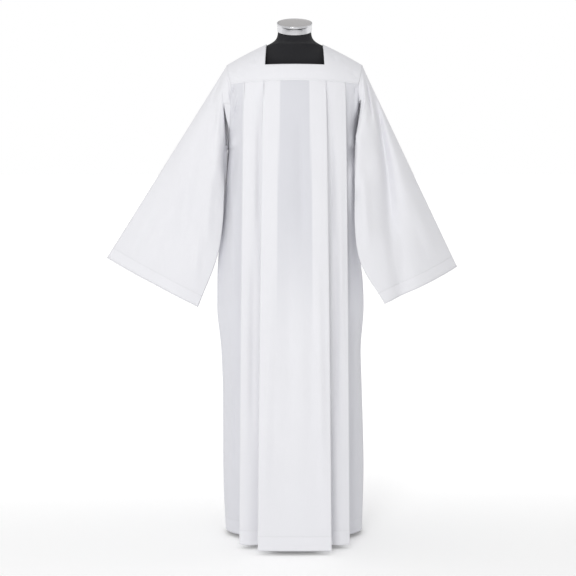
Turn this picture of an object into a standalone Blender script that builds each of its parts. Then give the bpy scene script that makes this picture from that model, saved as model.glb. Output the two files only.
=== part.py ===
"""A white pleated alb with a square neck, worn by a limbless dress form that stands on a round foot.

Metres, +Z up, front towards -Y, the viewer's right towards +X.
The origin is the middle of the foot's underside, on the floor.
"""

import math
from collections import namedtuple

import bmesh
import bpy
import numpy as np

# Driving heights of the garment
HEM_Z = 0.012
UNDERARM_Z = 1.165
SEAM_Z = 1.3555
SEAM_DROP = 0.0075
TIP_Z = 1.4075
NECK_Z = 1.4675
RIDGE_RISE = 0.002

# Driving widths and depths of the garment, each from the middle
NECK_HALF_AT_SEAM = 0.087
NECK_HALF_AT_RIDGE = 0.082
TIP_X = 0.1987
ARMHOLE_X = 0.185
ARMHOLE_DEPTH = 0.068
YOKE_DEPTH = 0.125
YOKE_ROUNDNESS = 2.34
BACK_SHARE = 0.87

# Cloth
CLOTH = 0.0012
YOKE_CLOTH = 0.0020
SEAM_GAP = 0.0004
SIDE_GAP = 0.0005

# A pleated panel: each width and depth at the yoke seam and at the hem. Depths are measured from the side seams.
Pleats = namedtuple("Pleats", "centre sag fold1 tuck1 under1 strip bow fold2 tuck2 under2 tuck_width bend")
AT_SEAM = Pleats(
    centre=0.1250, sag=0.0100, fold1=0.0885, tuck1=0.1200, under1=0.1098, strip=0.0928, bow=0.0030,
    fold2=0.1450, tuck2=0.1045, under2=0.0880, tuck_width=0.0480, bend=0.0012)
AT_HEM = Pleats(
    centre=0.2245, sag=0.0015, fold1=0.1059, tuck1=0.1980, under1=0.1650, strip=0.1633, bow=0.0040,
    fold2=0.1609, tuck2=0.1250, under2=0.0710, tuck_width=0.0450, bend=0.0025)
FLARE_POWER = 0.75

# How the flank beside the second pleat rounds into the side: over this height above the underarm it turns from
# a side wall to a narrow strip, and its two curve handles lie at these shares of its way
ARMHOLE_TURN = 0.10
STRIP_HANDLE = 0.012
SIDE_HANDLE_SHARE = 0.50
FLANK_HANDLE_ACROSS = 0.42
FLANK_HANDLE_DEPTH = 0.30

# The outline seen from the front: half widths of the body at each height
Outline = namedtuple("Outline", "z left right")
SIDES = (
    Outline(0.012, 0.2085, 0.2066),
    Outline(0.100, 0.2135, 0.2090),
    Outline(0.210, 0.2160, 0.2105),
    Outline(0.347, 0.2158, 0.2072),
    Outline(0.467, 0.2162, 0.2030),
    Outline(0.572, 0.2205, 0.2000),
    Outline(0.680, 0.2290, 0.2072),
    Outline(0.757, 0.2280, 0.2046),
    Outline(0.834, 0.2254, 0.1960),
    Outline(0.900, 0.2200, 0.1900),
    Outline(1.034, 0.2052, 0.1860),
    Outline(1.165, 0.1965, 0.1880),
)

# Heights of the panels' rows, close together round the underarm where the armhole turns
PANEL_ROWS = (
    0.012, 0.110, 0.240, 0.380, 0.530, 0.680, 0.830, 0.980, 1.090,
    1.165, 1.172, 1.190, 1.230, 1.290, 1.3555)
CENTRE_STEPS = 3
ARC_STEPS = 3
TUCK_STEPS = 2
STRIP_STEPS = 3
FLANK_STEPS = 6

# Angles of the yoke's rows, from its lower seam to the shoulder ridge
FRONT_NECK_ANGLE = 24.5
BACK_NECK_ANGLE = 50.0
BAND_STEPS = 2
STRAP_STEPS = 6
YOKE_COLUMNS = (0.0, 0.030, 0.060, 0.087, 0.112, 0.137, 0.162, 0.185)

# Each sleeve's sections, at shares of its straight top edge from the shoulder tip to the cuff. The lower
# fold's place comes first, then how far the front and back layers swell near each edge, how far along
# the section the swell reaches, and how far each layer is pushed outward beside the lower fold.
Section = namedtuple("Section", "share x y z front_top front_low back_top back_low reach front_push back_push")
LEFT_CUFF_TOP = (0.5608, 0.0, 0.8396)
LEFT_SECTIONS = (
    Section(0.00, 0.1965, 0.000, 1.1650, 0.090, 0.090, 0.078, 0.078, 0.0, 0.000, 0.000),
    Section(0.05, 0.2090, -0.018, 1.1620, 0.088, 0.075, 0.078, 0.078, 0.3, 0.000, 0.000),
    Section(0.15, 0.2110, -0.042, 1.1100, 0.080, 0.050, 0.070, 0.075, 0.6, 0.000, 0.006),
    Section(0.32, 0.2060, -0.058, 1.0250, 0.064, 0.042, 0.056, 0.066, 0.8, 0.000, 0.012),
    Section(0.60, 0.2210, -0.060, 0.8750, 0.046, 0.040, 0.046, 0.054, 0.9, 0.000, 0.004),
    Section(1.00, 0.2868, -0.040, 0.6967, 0.036, 0.036, 0.040, 0.046, 1.0, 0.000, 0.000),
)
RIGHT_CUFF_TOP = (0.4912, 0.030, 0.8110)
RIGHT_SECTIONS = (
    Section(0.00, 0.1880, 0.000, 1.1650, 0.090, 0.090, 0.078, 0.078, 0.0, 0.000, 0.000),
    Section(0.05, 0.2080, -0.020, 1.1560, 0.092, 0.080, 0.078, 0.074, 0.3, -0.018, 0.012),
    Section(0.13, 0.1810, -0.096, 1.1120, 0.088, 0.050, 0.072, 0.048, 0.6, -0.010, 0.062),
    Section(0.30, 0.1740, -0.126, 1.0200, 0.070, 0.040, 0.060, 0.050, 0.8, 0.000, 0.042),
    Section(0.60, 0.1830, -0.140, 0.8600, 0.048, 0.036, 0.046, 0.050, 0.9, 0.000, 0.016),
    Section(1.00, 0.2592, -0.150, 0.7184, 0.036, 0.036, 0.040, 0.044, 1.0, 0.000, 0.000),
)
# How far a sleeve starts outside the armhole, and the shares of its length over which its section turns from the
# armhole's ring into a flat one and over which the trough on its front deepens
SLEEVE_LEAD = 0.0011
ARMHOLE_BLEND = 0.18
TROUGH_BLEND = 0.15
CURVE_SAMPLES = 65

# The long trough on the front of each sleeve, placed by its share of the way down each section
Trough = namedtuple("Trough", "start end width depth")
LEFT_TROUGH = Trough(start=0.30, end=0.56, width=0.16, depth=0.007)
RIGHT_TROUGH = Trough(start=0.10, end=0.78, width=0.11, depth=0.016)
SLEEVE_RINGS = (0.0, 0.015, 0.045, 0.085, 0.13, 0.19, 0.27, 0.38, 0.51, 0.67, 0.84, 1.0)

# Dress form: half width and front depth at each height, with the back a little flatter
FormRing = namedtuple("FormRing", "z half_width depth centre_y")
FORM_BODY = (
    FormRing(0.800, 0.155, 0.096, 0.004),
    FormRing(0.840, 0.164, 0.104, 0.004),
    FormRing(0.920, 0.168, 0.106, 0.004),
    FormRing(1.020, 0.150, 0.094, -0.002),
    FormRing(1.120, 0.154, 0.096, -0.006),
    FormRing(1.220, 0.162, 0.103, -0.006),
    FormRing(1.300, 0.166, 0.104, -0.003),
    FormRing(1.345, 0.168, 0.101, 0.000),
    FormRing(1.380, 0.171, 0.095, 0.000),
)
FORM_BACK_SHARE = 0.88
FORM_SHOULDER_CLEARANCE = 0.0030
FORM_SHOULDER_DEPTH_SHARE = 0.84
FORM_SHOULDER_X = (0.178, 0.160, 0.135, 0.110, 0.088)
FORM_NECK_BLEND_Z = 1.44
FORM_NECK_BLEND = 0.03
FORM_LEAN_START_Z = 1.42
FORM_LEAN_BLEND = 0.04

# The form's neck: each ring's radius, its rise over the last shoulder ring and its lean in degrees
NeckRing = namedtuple("NeckRing", "radius rise lean")
FORM_NECK = (
    NeckRing(0.0690, 0.0095, 6.0),
    NeckRing(0.0570, 0.0175, 10.0),
    NeckRing(0.0505, 0.0280, 15.0),
)
NECK_RADIUS = 0.0490
NECK_CENTRE_Y = -0.006
NECK_TOP_Z = 1.5065
NECK_LEAN = 21.0
FORM_SIDES = 28
SHARP_ANGLE = 40.0

# Neck cap, pole and foot
CAP_RADIUS = 0.0515
CAP_HEIGHT = 0.0245
CAP_LIP = 0.0022
CAP_EDGE = 0.0060
CAP_GAP = 0.00039
POLE_RADIUS = 0.0125
POLE_SIDES = 24
FOOT_RADIUS = 0.160
FOOT_THICKNESS = 0.008
FOOT_BOSS_RADIUS = 0.028
FOOT_BOSS_HEIGHT = 0.022
FOOT_EDGE = 0.0015
TOUCH_GAP = 0.0003
ROUND_STEPS = 40

WHITE_CLOTH = ((0.86, 0.86, 0.88), 0.85, 0.0)
BLACK_JERSEY = ((0.020, 0.020, 0.024), 0.90, 0.0)
CHROME = ((0.70, 0.70, 0.71), 0.16, 1.0)
POWDER_COAT = ((0.045, 0.045, 0.048), 0.45, 0.0)


def clear_scene():
    for obj in list(bpy.data.objects):
        bpy.data.objects.remove(obj)


def new_collection(name):
    collection = bpy.data.collections.new(name)
    bpy.context.scene.collection.children.link(collection)
    return collection


def material(name, look):
    colour, roughness, metallic = look
    made = bpy.data.materials.new(name)
    made.use_nodes = True
    shader = made.node_tree.nodes["Principled BSDF"]
    shader.inputs["Base Color"].default_value = (*colour, 1.0)
    shader.inputs["Roughness"].default_value = roughness
    shader.inputs["Metallic"].default_value = metallic
    return made


def between(low, high, share):
    return low + (high - low) * share


def ease(share):
    share = min(max(share, 0.0), 1.0)
    return share * share * (3 - 2 * share)


def smooth_through(rows, at):
    """The values of a table at a place in its first column, on a cubic with no sudden bend."""
    table = np.array(rows, float)
    knots = table[:, 0]
    slopes = np.gradient(table, knots, axis=0)
    i = int(np.clip(np.searchsorted(knots, at) - 1, 0, len(knots) - 2))
    span = knots[i + 1] - knots[i]
    t = (at - knots[i]) / span
    start = (1 + 2 * t) * (1 - t) ** 2 * table[i] + t * (1 - t) ** 2 * span * slopes[i]
    end = t * t * (3 - 2 * t) * table[i + 1] - t * t * (1 - t) * span * slopes[i + 1]
    return (start + end)[1:]


def bezier(p0, p1, p2, p3, share):
    rest = 1 - share
    weights = (rest**3, 3 * rest * rest * share, 3 * rest * share * share, share**3)
    return tuple(sum(w * p[k] for w, p in zip(weights, (p0, p1, p2, p3))) for k in range(len(p0)))


def pleats_at(z):
    """The pleated panel's widths and depths at a height."""
    opened = max(0.0, (SEAM_Z - z) / (SEAM_Z - HEM_Z)) ** FLARE_POWER
    return Pleats(*(between(a, b, opened) for a, b in zip(AT_SEAM, AT_HEM)))


def side_width(z, right):
    left_width, right_width = smooth_through(SIDES, min(z, UNDERARM_Z))
    return right_width if right else left_width


def armhole_below_seam(z, right):
    """(half width, front depth) of the armhole edge at a height between the underarm and the yoke seam."""
    fall = min(1.0, (SEAM_Z - z) / (SEAM_Z - UNDERARM_Z))
    depth = ARMHOLE_DEPTH * math.sqrt(max(0.0, 1 - fall * fall))
    return between(ARMHOLE_X, side_width(UNDERARM_Z, right), fall * fall), depth


def seam_fall(x, z):
    """How far a row has dropped at x, because the yoke seam sags towards the armholes."""
    ramp = min(1.0, max(0.0, (z - UNDERARM_Z) / (SEAM_Z - UNDERARM_Z)))
    return SEAM_DROP * (x / ARMHOLE_X) ** 2 * ramp


def arc(centre_x, centre_depth, radius, start, end):
    """Points round a fold, in degrees from the outward direction towards the front."""
    angles = np.radians(np.linspace(start, end, ARC_STEPS + 1))
    return [(centre_x + radius * math.cos(a), centre_depth + radius * math.sin(a)) for a in angles]


def tuck(fold_x, fold_depth, tuck_depth, emerge_depth, width, bend):
    """A knife pleat: the outer fold, the hidden layer back to the inner fold, and out again below the fold."""
    outer = arc(fold_x - bend, fold_depth - bend, bend, 90, -90)
    inner = arc(fold_x - width + bend, tuck_depth - bend, bend, 90, 270)
    points = list(outer)
    for i in range(1, TUCK_STEPS):
        share = i / TUCK_STEPS
        points.append(tuple(between(a, b, share) for a, b in zip(outer[-1], inner[0])))
    points += inner
    for i in range(1, TUCK_STEPS + 1):
        share = i / TUCK_STEPS
        points.append(tuple(between(a, b, share) for a, b in zip(inner[-1], (fold_x, emerge_depth))))
    return points


def flank(start, z, right):
    """From below the second fold round to the side seam or, above the underarm, to the armhole."""
    if z <= UNDERARM_Z:
        edge = (side_width(z, right), 0.0)
        along_side = 1.0
    else:
        edge = armhole_below_seam(z, right)
        along_side = 1 - ease((z - UNDERARM_Z) / ARMHOLE_TURN)
    reach = between(STRIP_HANDLE, SIDE_HANDLE_SHARE * start[1], along_side)
    direction = (-(1 - along_side), along_side)
    before_edge = (edge[0] + reach * direction[0], edge[1] + reach * direction[1])
    after_start = (
        between(start[0], edge[0], FLANK_HANDLE_ACROSS), between(start[1], before_edge[1], FLANK_HANDLE_DEPTH))
    shares = [(i + 1) / FLANK_STEPS for i in range(FLANK_STEPS)]
    return [bezier(start, after_start, before_edge, edge, s) for s in shares]


def half_section(z, right):
    """Half a pleated panel in plan at a height, from the middle to its side edge: (across, depth) pairs."""
    p = pleats_at(z)
    points = []
    for i in range(CENTRE_STEPS):
        x = (p.fold1 - p.bend) * i / CENTRE_STEPS
        points.append((x, p.centre - p.sag * (x / p.fold1) ** 2))
    points += tuck(p.fold1, p.centre - p.sag, p.tuck1, p.under1, p.tuck_width, p.bend)
    for i in range(1, STRIP_STEPS):
        share = i / STRIP_STEPS
        x = between(p.fold1, p.fold2 - p.bend, share)
        points.append((x, between(p.under1, p.strip, share) + p.bow * math.sin(math.pi * share)))
    points += tuck(p.fold2, p.strip, p.tuck2, p.under2, p.tuck_width, p.bend)
    return points + flank(points[-1], z, right)


def panel_rows(facing, share):
    """Rows of points of the front (facing -1) or back (facing 1) panel, from the hem to the yoke seam."""
    rows = []
    for z in PANEL_ROWS:
        row = []
        for right in (False, True):
            sign = 1 if right else -1
            half = []
            for x, depth in half_section(z, right):
                y = facing * max(depth * share, SIDE_GAP / 2)
                half.append((sign * x, y, z - seam_fall(x, z)))
            row = half[:0:-1] if not right else row + half
        rows.append(row)
    rows[-1] = [(x, y, z - SEAM_GAP) for x, y, z in rows[-1]]
    return rows


def ridge_z(x):
    """Height of the shoulder ridge at a distance from the middle."""
    share = max(0.0, (x - NECK_HALF_AT_RIDGE) / (TIP_X - NECK_HALF_AT_RIDGE))
    return between(NECK_Z, TIP_Z, share) + RIDGE_RISE * math.sin(math.pi * min(1.0, share))


def yoke_depth(x):
    return between(YOKE_DEPTH, ARMHOLE_DEPTH, (x / ARMHOLE_X) ** YOKE_ROUNDNESS)


def yoke_angles(neck_angle):
    """Angles of a yoke's rows: up its band to the neck edge, then up the straps to the ridge."""
    band = [neck_angle * i / BAND_STEPS for i in range(BAND_STEPS + 1)]
    return band + [between(neck_angle, 90.0, i / STRAP_STEPS) for i in range(1, STRAP_STEPS + 1)]


def yoke_point(column, angle):
    """(x, depth, z) on the yoke: up from its lower seam at a column, over to the shoulder ridge."""
    rise = math.sin(math.radians(angle))
    if column <= NECK_HALF_AT_SEAM:
        top_x = column * NECK_HALF_AT_RIDGE / NECK_HALF_AT_SEAM
    else:
        share = (column - NECK_HALF_AT_SEAM) / (ARMHOLE_X - NECK_HALF_AT_SEAM)
        top_x = between(NECK_HALF_AT_RIDGE, TIP_X, share)
    x = between(column, top_x, rise)
    foot_z = SEAM_Z - seam_fall(column, SEAM_Z)
    return x, yoke_depth(column) * math.cos(math.radians(angle)), between(foot_z, ridge_z(top_x), rise)


def grid_mesh(name, rows, closed=False, skip=None):
    """An open surface through rows of points, each row with as many points as the others."""
    mesh = bpy.data.meshes.new(name)
    columns = len(rows[0])
    points = [p for row in rows for p in row]
    faces = []
    for i in range(len(rows) - 1):
        for j in range(columns if closed else columns - 1):
            if skip and skip(i, j):
                continue
            k = (j + 1) % columns
            a, b = i * columns, (i + 1) * columns
            faces.append((a + j, a + k, b + k, b + j))
    mesh.from_pydata(points, [], faces)
    made = bmesh.new()
    made.from_mesh(mesh)
    loose = [v for v in made.verts if not v.link_faces]
    bmesh.ops.delete(made, geom=loose, context="VERTS")
    bmesh.ops.recalc_face_normals(made, faces=made.faces)
    made.to_mesh(mesh)
    made.free()
    mesh.shade_smooth()
    return mesh


def add_object(name, mesh, collection, look):
    obj = bpy.data.objects.new(name, mesh)
    obj.data.materials.append(look)
    collection.objects.link(obj)
    return obj


def add_cloth(name, mesh, collection, look, thickness):
    """A cloth piece: an open surface made into a wall, half of it on each side."""
    obj = add_object(name, mesh, collection, look)
    wall = obj.modifiers.new("Wall", "SOLIDIFY")
    wall.thickness = thickness
    wall.offset = 0.0
    wall.use_even_offset = True
    return obj


def build_panel(name, facing, share, collection, look):
    return add_cloth(name, grid_mesh(name, panel_rows(facing, share)), collection, look, CLOTH)


def build_yoke(name, facing, share, neck_angle, collection, look):
    """A square-necked yoke: a band across the chest or back, and a strap over each shoulder."""
    columns = [-x for x in YOKE_COLUMNS[:0:-1]] + list(YOKE_COLUMNS)
    rows = []
    for angle in yoke_angles(neck_angle):
        row = []
        for column in columns:
            x, depth, z = yoke_point(abs(column), angle)
            y = facing * max(depth * share, SIDE_GAP / 2)
            row.append((math.copysign(x, column), y, z))
        rows.append(row)
    neck = [j for j in range(len(columns) - 1) if abs(columns[j] + columns[j + 1]) / 2 < NECK_HALF_AT_SEAM]
    mesh = grid_mesh(name, rows, skip=lambda i, j: i >= BAND_STEPS and j in neck)
    return add_cloth(name, mesh, collection, look, YOKE_CLOTH)


def armhole_heights():
    """Heights of the panel rows beside the armhole, from the yoke seam down to the underarm."""
    return [z for z in reversed(PANEL_ROWS) if z >= UNDERARM_Z]


def armhole_ring(right):
    """The armhole's edge: from the shoulder tip down the front, and up the back."""
    below = []
    for z in armhole_heights():
        x, depth = armhole_below_seam(z, right)
        below.append((x, depth, z - seam_fall(x, z)))
    front = [yoke_point(ARMHOLE_X, a) for a in reversed(yoke_angles(FRONT_NECK_ANGLE)[1:])] + below
    back = [yoke_point(ARMHOLE_X, a) for a in reversed(yoke_angles(BACK_NECK_ANGLE)[1:])] + below
    ring = [(x, -depth, z) for x, depth, z in front]
    ring += [(x, depth * BACK_SHARE, z) for x, depth, z in back[-2:0:-1]]
    return ring


def share_along(points):
    """Each point's share of the way along a line of points."""
    steps = np.linalg.norm(np.diff(np.array(points), axis=0), axis=1)
    way = np.concatenate(([0.0], np.cumsum(steps)))
    return way / way[-1]


def curve_at(controls, shares):
    """Points of a cubic curve at shares of its length."""
    fine = np.array([bezier(*controls, t) for t in np.linspace(0.0, 1.0, CURVE_SAMPLES)])
    way = share_along(fine)
    return np.stack([np.interp(shares, way, fine[:, k]) for k in range(3)], axis=1)


def sleeve_section(share, cuff_top, sections, trough, front_shares, back_shares):
    """A closed section of a sleeve: down its front layer to the lower fold, and up its back layer."""
    s = Section(share, *smooth_through(sections, share))
    top = between(np.array((TIP_X, 0.0, TIP_Z)), np.array(cuff_top), share)
    low = np.array((s.x, s.y, s.z))
    along = (low - top) / 3 * s.reach
    edge = (low - top) / np.linalg.norm(low - top)
    thin = np.array((0.0, 1.0, 0.0)) - edge[1] * edge
    thin /= np.linalg.norm(thin)
    outward = np.array((1.0, 0.0, 0.0))
    front = curve_at((
        top, top + along - thin * s.front_top,
        low - along - thin * s.front_low + outward * s.front_push, low), front_shares)
    back = curve_at((
        low, low - along + thin * s.back_low + outward * s.back_push,
        top + along + thin * s.back_top, top), back_shares)
    middle = between(trough.start, trough.end, share)
    for point, down in zip(front, front_shares):
        dip = trough.depth * ease(share / TROUGH_BLEND) * math.exp(-(((down - middle) / trough.width) ** 2))
        point += thin * dip
    return np.vstack((front, back[1:-1]))


def sleeve_rows(right):
    """Rings of points of a sleeve, from the armhole to the cuff, flattening to a pressed fold on each edge."""
    ring = np.array(armhole_ring(right))
    half = len(armhole_heights()) + len(yoke_angles(FRONT_NECK_ANGLE)) - 2
    front_shares = share_along(ring[:half + 1])
    back_shares = share_along(np.vstack((ring[half:], ring[:1])))
    cuff_top = RIGHT_CUFF_TOP if right else LEFT_CUFF_TOP
    sections = RIGHT_SECTIONS if right else LEFT_SECTIONS
    trough = RIGHT_TROUGH if right else LEFT_TROUGH
    at_seam = sleeve_section(0.0, cuff_top, sections, trough, front_shares, back_shares)
    rows = []
    for share in SLEEVE_RINGS:
        fade = 1 - ease(share / ARMHOLE_BLEND)
        row = sleeve_section(share, cuff_top, sections, trough, front_shares, back_shares)
        row = row + (ring - at_seam) * fade + np.array((SLEEVE_LEAD, 0.0, 0.0))
        if not right:
            row = row * np.array((-1.0, 1.0, 1.0))
        rows.append([tuple(point) for point in row])
    return rows


def build_sleeve(name, right, collection, look):
    return add_cloth(name, grid_mesh(name, sleeve_rows(right), closed=True), collection, look, CLOTH)


def form_ring(half_width, depth, centre_y, z, lean=0.0):
    """A level ring round the dress form, flatter at the back, or one that leans forward."""
    ring = []
    for k in range(FORM_SIDES):
        angle = 2 * math.pi * k / FORM_SIDES
        reach = depth * (FORM_BACK_SHARE if math.sin(angle) > 0 else 1.0)
        y = centre_y + reach * math.sin(angle)
        ring.append((half_width * math.cos(angle), y, z + math.tan(math.radians(lean)) * (y - centre_y)))
    return ring


def form_rows():
    """Rings of the dress form, from its flat bottom to its neck, the shoulders just under the yoke."""
    rows = [form_ring(r.half_width, r.depth, r.centre_y, r.z) for r in FORM_BODY]
    for x in FORM_SHOULDER_X:
        z = ridge_z(x) - FORM_SHOULDER_CLEARANCE
        rise = (z - SEAM_Z) / (NECK_Z - SEAM_Z)
        depth = yoke_depth(0.0) * math.sqrt(max(0.0, 1 - rise * rise)) * FORM_SHOULDER_DEPTH_SHARE
        depth = between(depth, NECK_RADIUS, ease((z - FORM_NECK_BLEND_Z) / FORM_NECK_BLEND))
        depth = max(depth, NECK_RADIUS)
        centre_y = NECK_CENTRE_Y * ease((z - FORM_LEAN_START_Z) / FORM_LEAN_BLEND)
        rows.append(form_ring(x, depth, centre_y, z))
    base = rows[-1][0][2]
    for n in FORM_NECK:
        rows.append(form_ring(n.radius, n.radius, NECK_CENTRE_Y, base + n.rise, n.lean))
    rows.append(form_ring(NECK_RADIUS, NECK_RADIUS, NECK_CENTRE_Y, NECK_TOP_Z, NECK_LEAN))
    return rows


def build_form(name, collection, look):
    rows = form_rows()
    mesh = grid_mesh(name, rows, closed=True)
    made = bmesh.new()
    made.from_mesh(mesh)
    bmesh.ops.holes_fill(made, edges=[e for e in made.edges if e.is_boundary], sides=0)
    bmesh.ops.recalc_face_normals(made, faces=made.faces)
    made.to_mesh(mesh)
    made.free()
    mesh.shade_smooth()
    mesh.set_sharp_from_angle(angle=math.radians(SHARP_ANGLE))
    return add_object(name, mesh, collection, look)


def build_turned(name, profile, collection, look):
    """A turned solid from its (radius, height) profile, listed from the top of the axis to the bottom."""
    mesh = bpy.data.meshes.new(name)
    points = [(radius, 0.0, z) for radius, z in profile]
    mesh.from_pydata(points, [(i, i + 1) for i in range(len(points) - 1)], [])
    obj = add_object(name, mesh, collection, look)
    screw = obj.modifiers.new("Turn", "SCREW")
    screw.steps = ROUND_STEPS
    screw.render_steps = ROUND_STEPS
    screw.use_merge_vertices = True
    screw.merge_threshold = 0.00001
    screw.use_smooth_shade = True
    return obj


def build_neck_cap(collection, look):
    """The polished cap on the neck: a short drum with a raised rim, leaning with the neck."""
    inner = CAP_RADIUS - CAP_LIP
    profile = [
        (0.0, CAP_HEIGHT - CAP_LIP),
        (inner - CAP_LIP, CAP_HEIGHT - CAP_LIP),
        (inner, CAP_HEIGHT),
        (CAP_RADIUS - CAP_LIP / 2, CAP_HEIGHT),
        (CAP_RADIUS, CAP_HEIGHT - CAP_LIP / 2),
        (CAP_RADIUS, CAP_HEIGHT - CAP_EDGE),
        (CAP_RADIUS - CAP_LIP / 2, CAP_HEIGHT - 1.2 * CAP_EDGE),
        (CAP_RADIUS - CAP_LIP / 2, 0.0),
        (0.0, 0.0),
    ]
    cap = build_turned("neck_cap", profile, collection, look)
    cap.location = (0.0, NECK_CENTRE_Y, NECK_TOP_Z + CAP_GAP)
    cap.rotation_euler = (math.radians(NECK_LEAN), 0.0, 0.0)
    return cap


def build_stand(collection, look):
    """A tube from the form's underside to a flat round foot with a boss."""
    bottom = FOOT_BOSS_HEIGHT + TOUCH_GAP
    top = FORM_BODY[0].z - TOUCH_GAP
    bpy.ops.mesh.primitive_cylinder_add(
        vertices=POLE_SIDES, radius=POLE_RADIUS, depth=top - bottom, location=(0.0, 0.0, (top + bottom) / 2))
    pole = bpy.context.active_object
    pole.name = "stand_pole"
    pole.data.materials.append(look)
    for owner in list(pole.users_collection):
        owner.objects.unlink(pole)
    collection.objects.link(pole)
    profile = [
        (0.0, FOOT_BOSS_HEIGHT),
        (FOOT_BOSS_RADIUS * 0.7, FOOT_BOSS_HEIGHT),
        (FOOT_BOSS_RADIUS, FOOT_THICKNESS),
        (FOOT_RADIUS - FOOT_EDGE, FOOT_THICKNESS),
        (FOOT_RADIUS, FOOT_THICKNESS - FOOT_EDGE),
        (FOOT_RADIUS, FOOT_EDGE),
        (FOOT_RADIUS - FOOT_EDGE, 0.0),
        (0.0, 0.0),
    ]
    build_turned("stand_foot", profile, collection, look)


def main():
    clear_scene()
    parts = new_collection("alb_on_dress_form")
    cloth = material("alb_cloth", WHITE_CLOTH)
    jersey = material("form_jersey", BLACK_JERSEY)
    chrome = material("cap_chrome", CHROME)
    coat = material("stand_coat", POWDER_COAT)
    build_panel("front_panel", -1, 1.0, parts, cloth)
    build_panel("back_panel", 1, BACK_SHARE, parts, cloth)
    build_yoke("front_yoke", -1, 1.0, FRONT_NECK_ANGLE, parts, cloth)
    build_yoke("back_yoke", 1, BACK_SHARE, BACK_NECK_ANGLE, parts, cloth)
    build_sleeve("left_sleeve", False, parts, cloth)
    build_sleeve("right_sleeve", True, parts, cloth)
    build_form("form_torso", parts, jersey)
    build_neck_cap(parts, chrome)
    build_stand(parts, coat)


main()
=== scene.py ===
"""A white pleated alb on a limbless dress form: fine cloth shells, materials, light and camera.

Metres, +Z up, front towards -Y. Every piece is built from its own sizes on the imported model's form.
"""

import math
from collections import namedtuple
from functools import partial

import bmesh
import bpy
import numpy as np
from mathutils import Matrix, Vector


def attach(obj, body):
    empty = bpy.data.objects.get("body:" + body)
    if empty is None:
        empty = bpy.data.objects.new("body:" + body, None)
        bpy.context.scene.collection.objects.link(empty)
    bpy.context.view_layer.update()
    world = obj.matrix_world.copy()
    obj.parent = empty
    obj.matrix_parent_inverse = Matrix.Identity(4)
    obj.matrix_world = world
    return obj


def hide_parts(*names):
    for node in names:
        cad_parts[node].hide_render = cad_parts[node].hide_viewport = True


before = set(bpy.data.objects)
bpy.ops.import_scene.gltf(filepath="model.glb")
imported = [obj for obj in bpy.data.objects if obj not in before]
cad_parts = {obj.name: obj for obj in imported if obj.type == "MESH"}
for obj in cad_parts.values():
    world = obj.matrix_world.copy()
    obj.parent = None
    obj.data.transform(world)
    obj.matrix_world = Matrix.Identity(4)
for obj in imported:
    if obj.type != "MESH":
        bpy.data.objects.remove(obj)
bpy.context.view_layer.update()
scene = bpy.context.scene

# Driving heights of the garment
HEM_Z = 0.012
UNDERARM_Z = 1.165
SEAM_Z = 1.3555
SEAM_DROP = 0.0075
TIP_Z = 1.4075
NECK_Z = 1.4675

# Driving widths and depths of the garment, each from the middle
NECK_HALF_AT_SEAM = 0.087
NECK_HALF_AT_RIDGE = 0.082
TIP_X = 0.1987
ARMHOLE_X = 0.185
ARMHOLE_DEPTH = 0.068
YOKE_DEPTH = 0.125
YOKE_ROUNDNESS = 2.34
BACK_SHARE = 0.87
FRONT_NECK_ANGLE = 24.5
BACK_NECK_ANGLE = 50.0

# Cloth: how far a panel's top runs up inside the yoke and lies under it, over what height it comes forward
# to it, then the walls and the hems
TUCKED_IN = 0.003
UNDER_YOKE = 0.0002
MEET_RUN = 0.07
CLOTH = 0.0008
YOKE_CLOTH = 0.0018
BODY_HEM = 0.042
CUFF_HEM = 0.036

# Pleats at the yoke seam and at the hem, as in the model
Pleats = namedtuple("Pleats", "centre sag fold1 tuck1 under1 strip bow fold2 tuck2 under2 tuck_width bend")
AT_SEAM = Pleats(
    centre=0.1250, sag=0.0100, fold1=0.0885, tuck1=0.1200, under1=0.1098, strip=0.0928, bow=0.0030,
    fold2=0.1450, tuck2=0.1045, under2=0.0880, tuck_width=0.0480, bend=0.0012)
AT_HEM = Pleats(
    centre=0.2245, sag=0.0015, fold1=0.1059, tuck1=0.1980, under1=0.1650, strip=0.1633, bow=0.0040,
    fold2=0.1609, tuck2=0.1250, under2=0.0710, tuck_width=0.0450, bend=0.0025)
FLARE_POWER = 0.75

Outline = namedtuple("Outline", "z left right")
SIDES = (
    Outline(0.012, 0.2085, 0.2066),
    Outline(0.1, 0.2135, 0.209),
    Outline(0.21, 0.216, 0.2105),
    Outline(0.347, 0.2158, 0.2072),
    Outline(0.467, 0.2162, 0.203),
    Outline(0.572, 0.2205, 0.2),
    Outline(0.68, 0.229, 0.2072),
    Outline(0.757, 0.228, 0.2046),
    Outline(0.834, 0.2254, 0.196),
    Outline(0.9, 0.22, 0.19),
    Outline(1.034, 0.2052, 0.186),
    Outline(1.165, 0.1965, 0.188),
)

# Steps of the fine panels across each half
CENTRE_STEPS = 18
ARC_STEPS = 4
TUCK_STEPS = 5
STRIP_STEPS = 12
FLANK_STEPS = 22

# Each sleeve's sections, as in the model
Section = namedtuple(
    "Section", "share x y z front_top front_low back_top back_low reach front_push back_push")
LEFT_CUFF_TOP = (0.5608, 0.0, 0.8396)
LEFT_SECTIONS = (
    Section(0.0, 0.1965, 0.0, 1.165, 0.09, 0.09, 0.078, 0.078, 0.0, 0.0, 0.0),
    Section(0.05, 0.203, -0.016, 1.148, 0.088, 0.075, 0.078, 0.078, 0.3, 0.0, 0.0),
    Section(0.15, 0.208, -0.042, 1.102, 0.08, 0.05, 0.07, 0.075, 0.6, 0.0, 0.006),
    Section(0.32, 0.206, -0.058, 1.025, 0.064, 0.042, 0.056, 0.066, 0.8, 0.0, 0.012),
    Section(0.6, 0.221, -0.06, 0.875, 0.046, 0.04, 0.046, 0.054, 0.9, 0.0, 0.004),
    Section(1.0, 0.2868, -0.04, 0.6967, 0.036, 0.036, 0.04, 0.046, 1.0, 0.0, 0.0),
)
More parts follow.
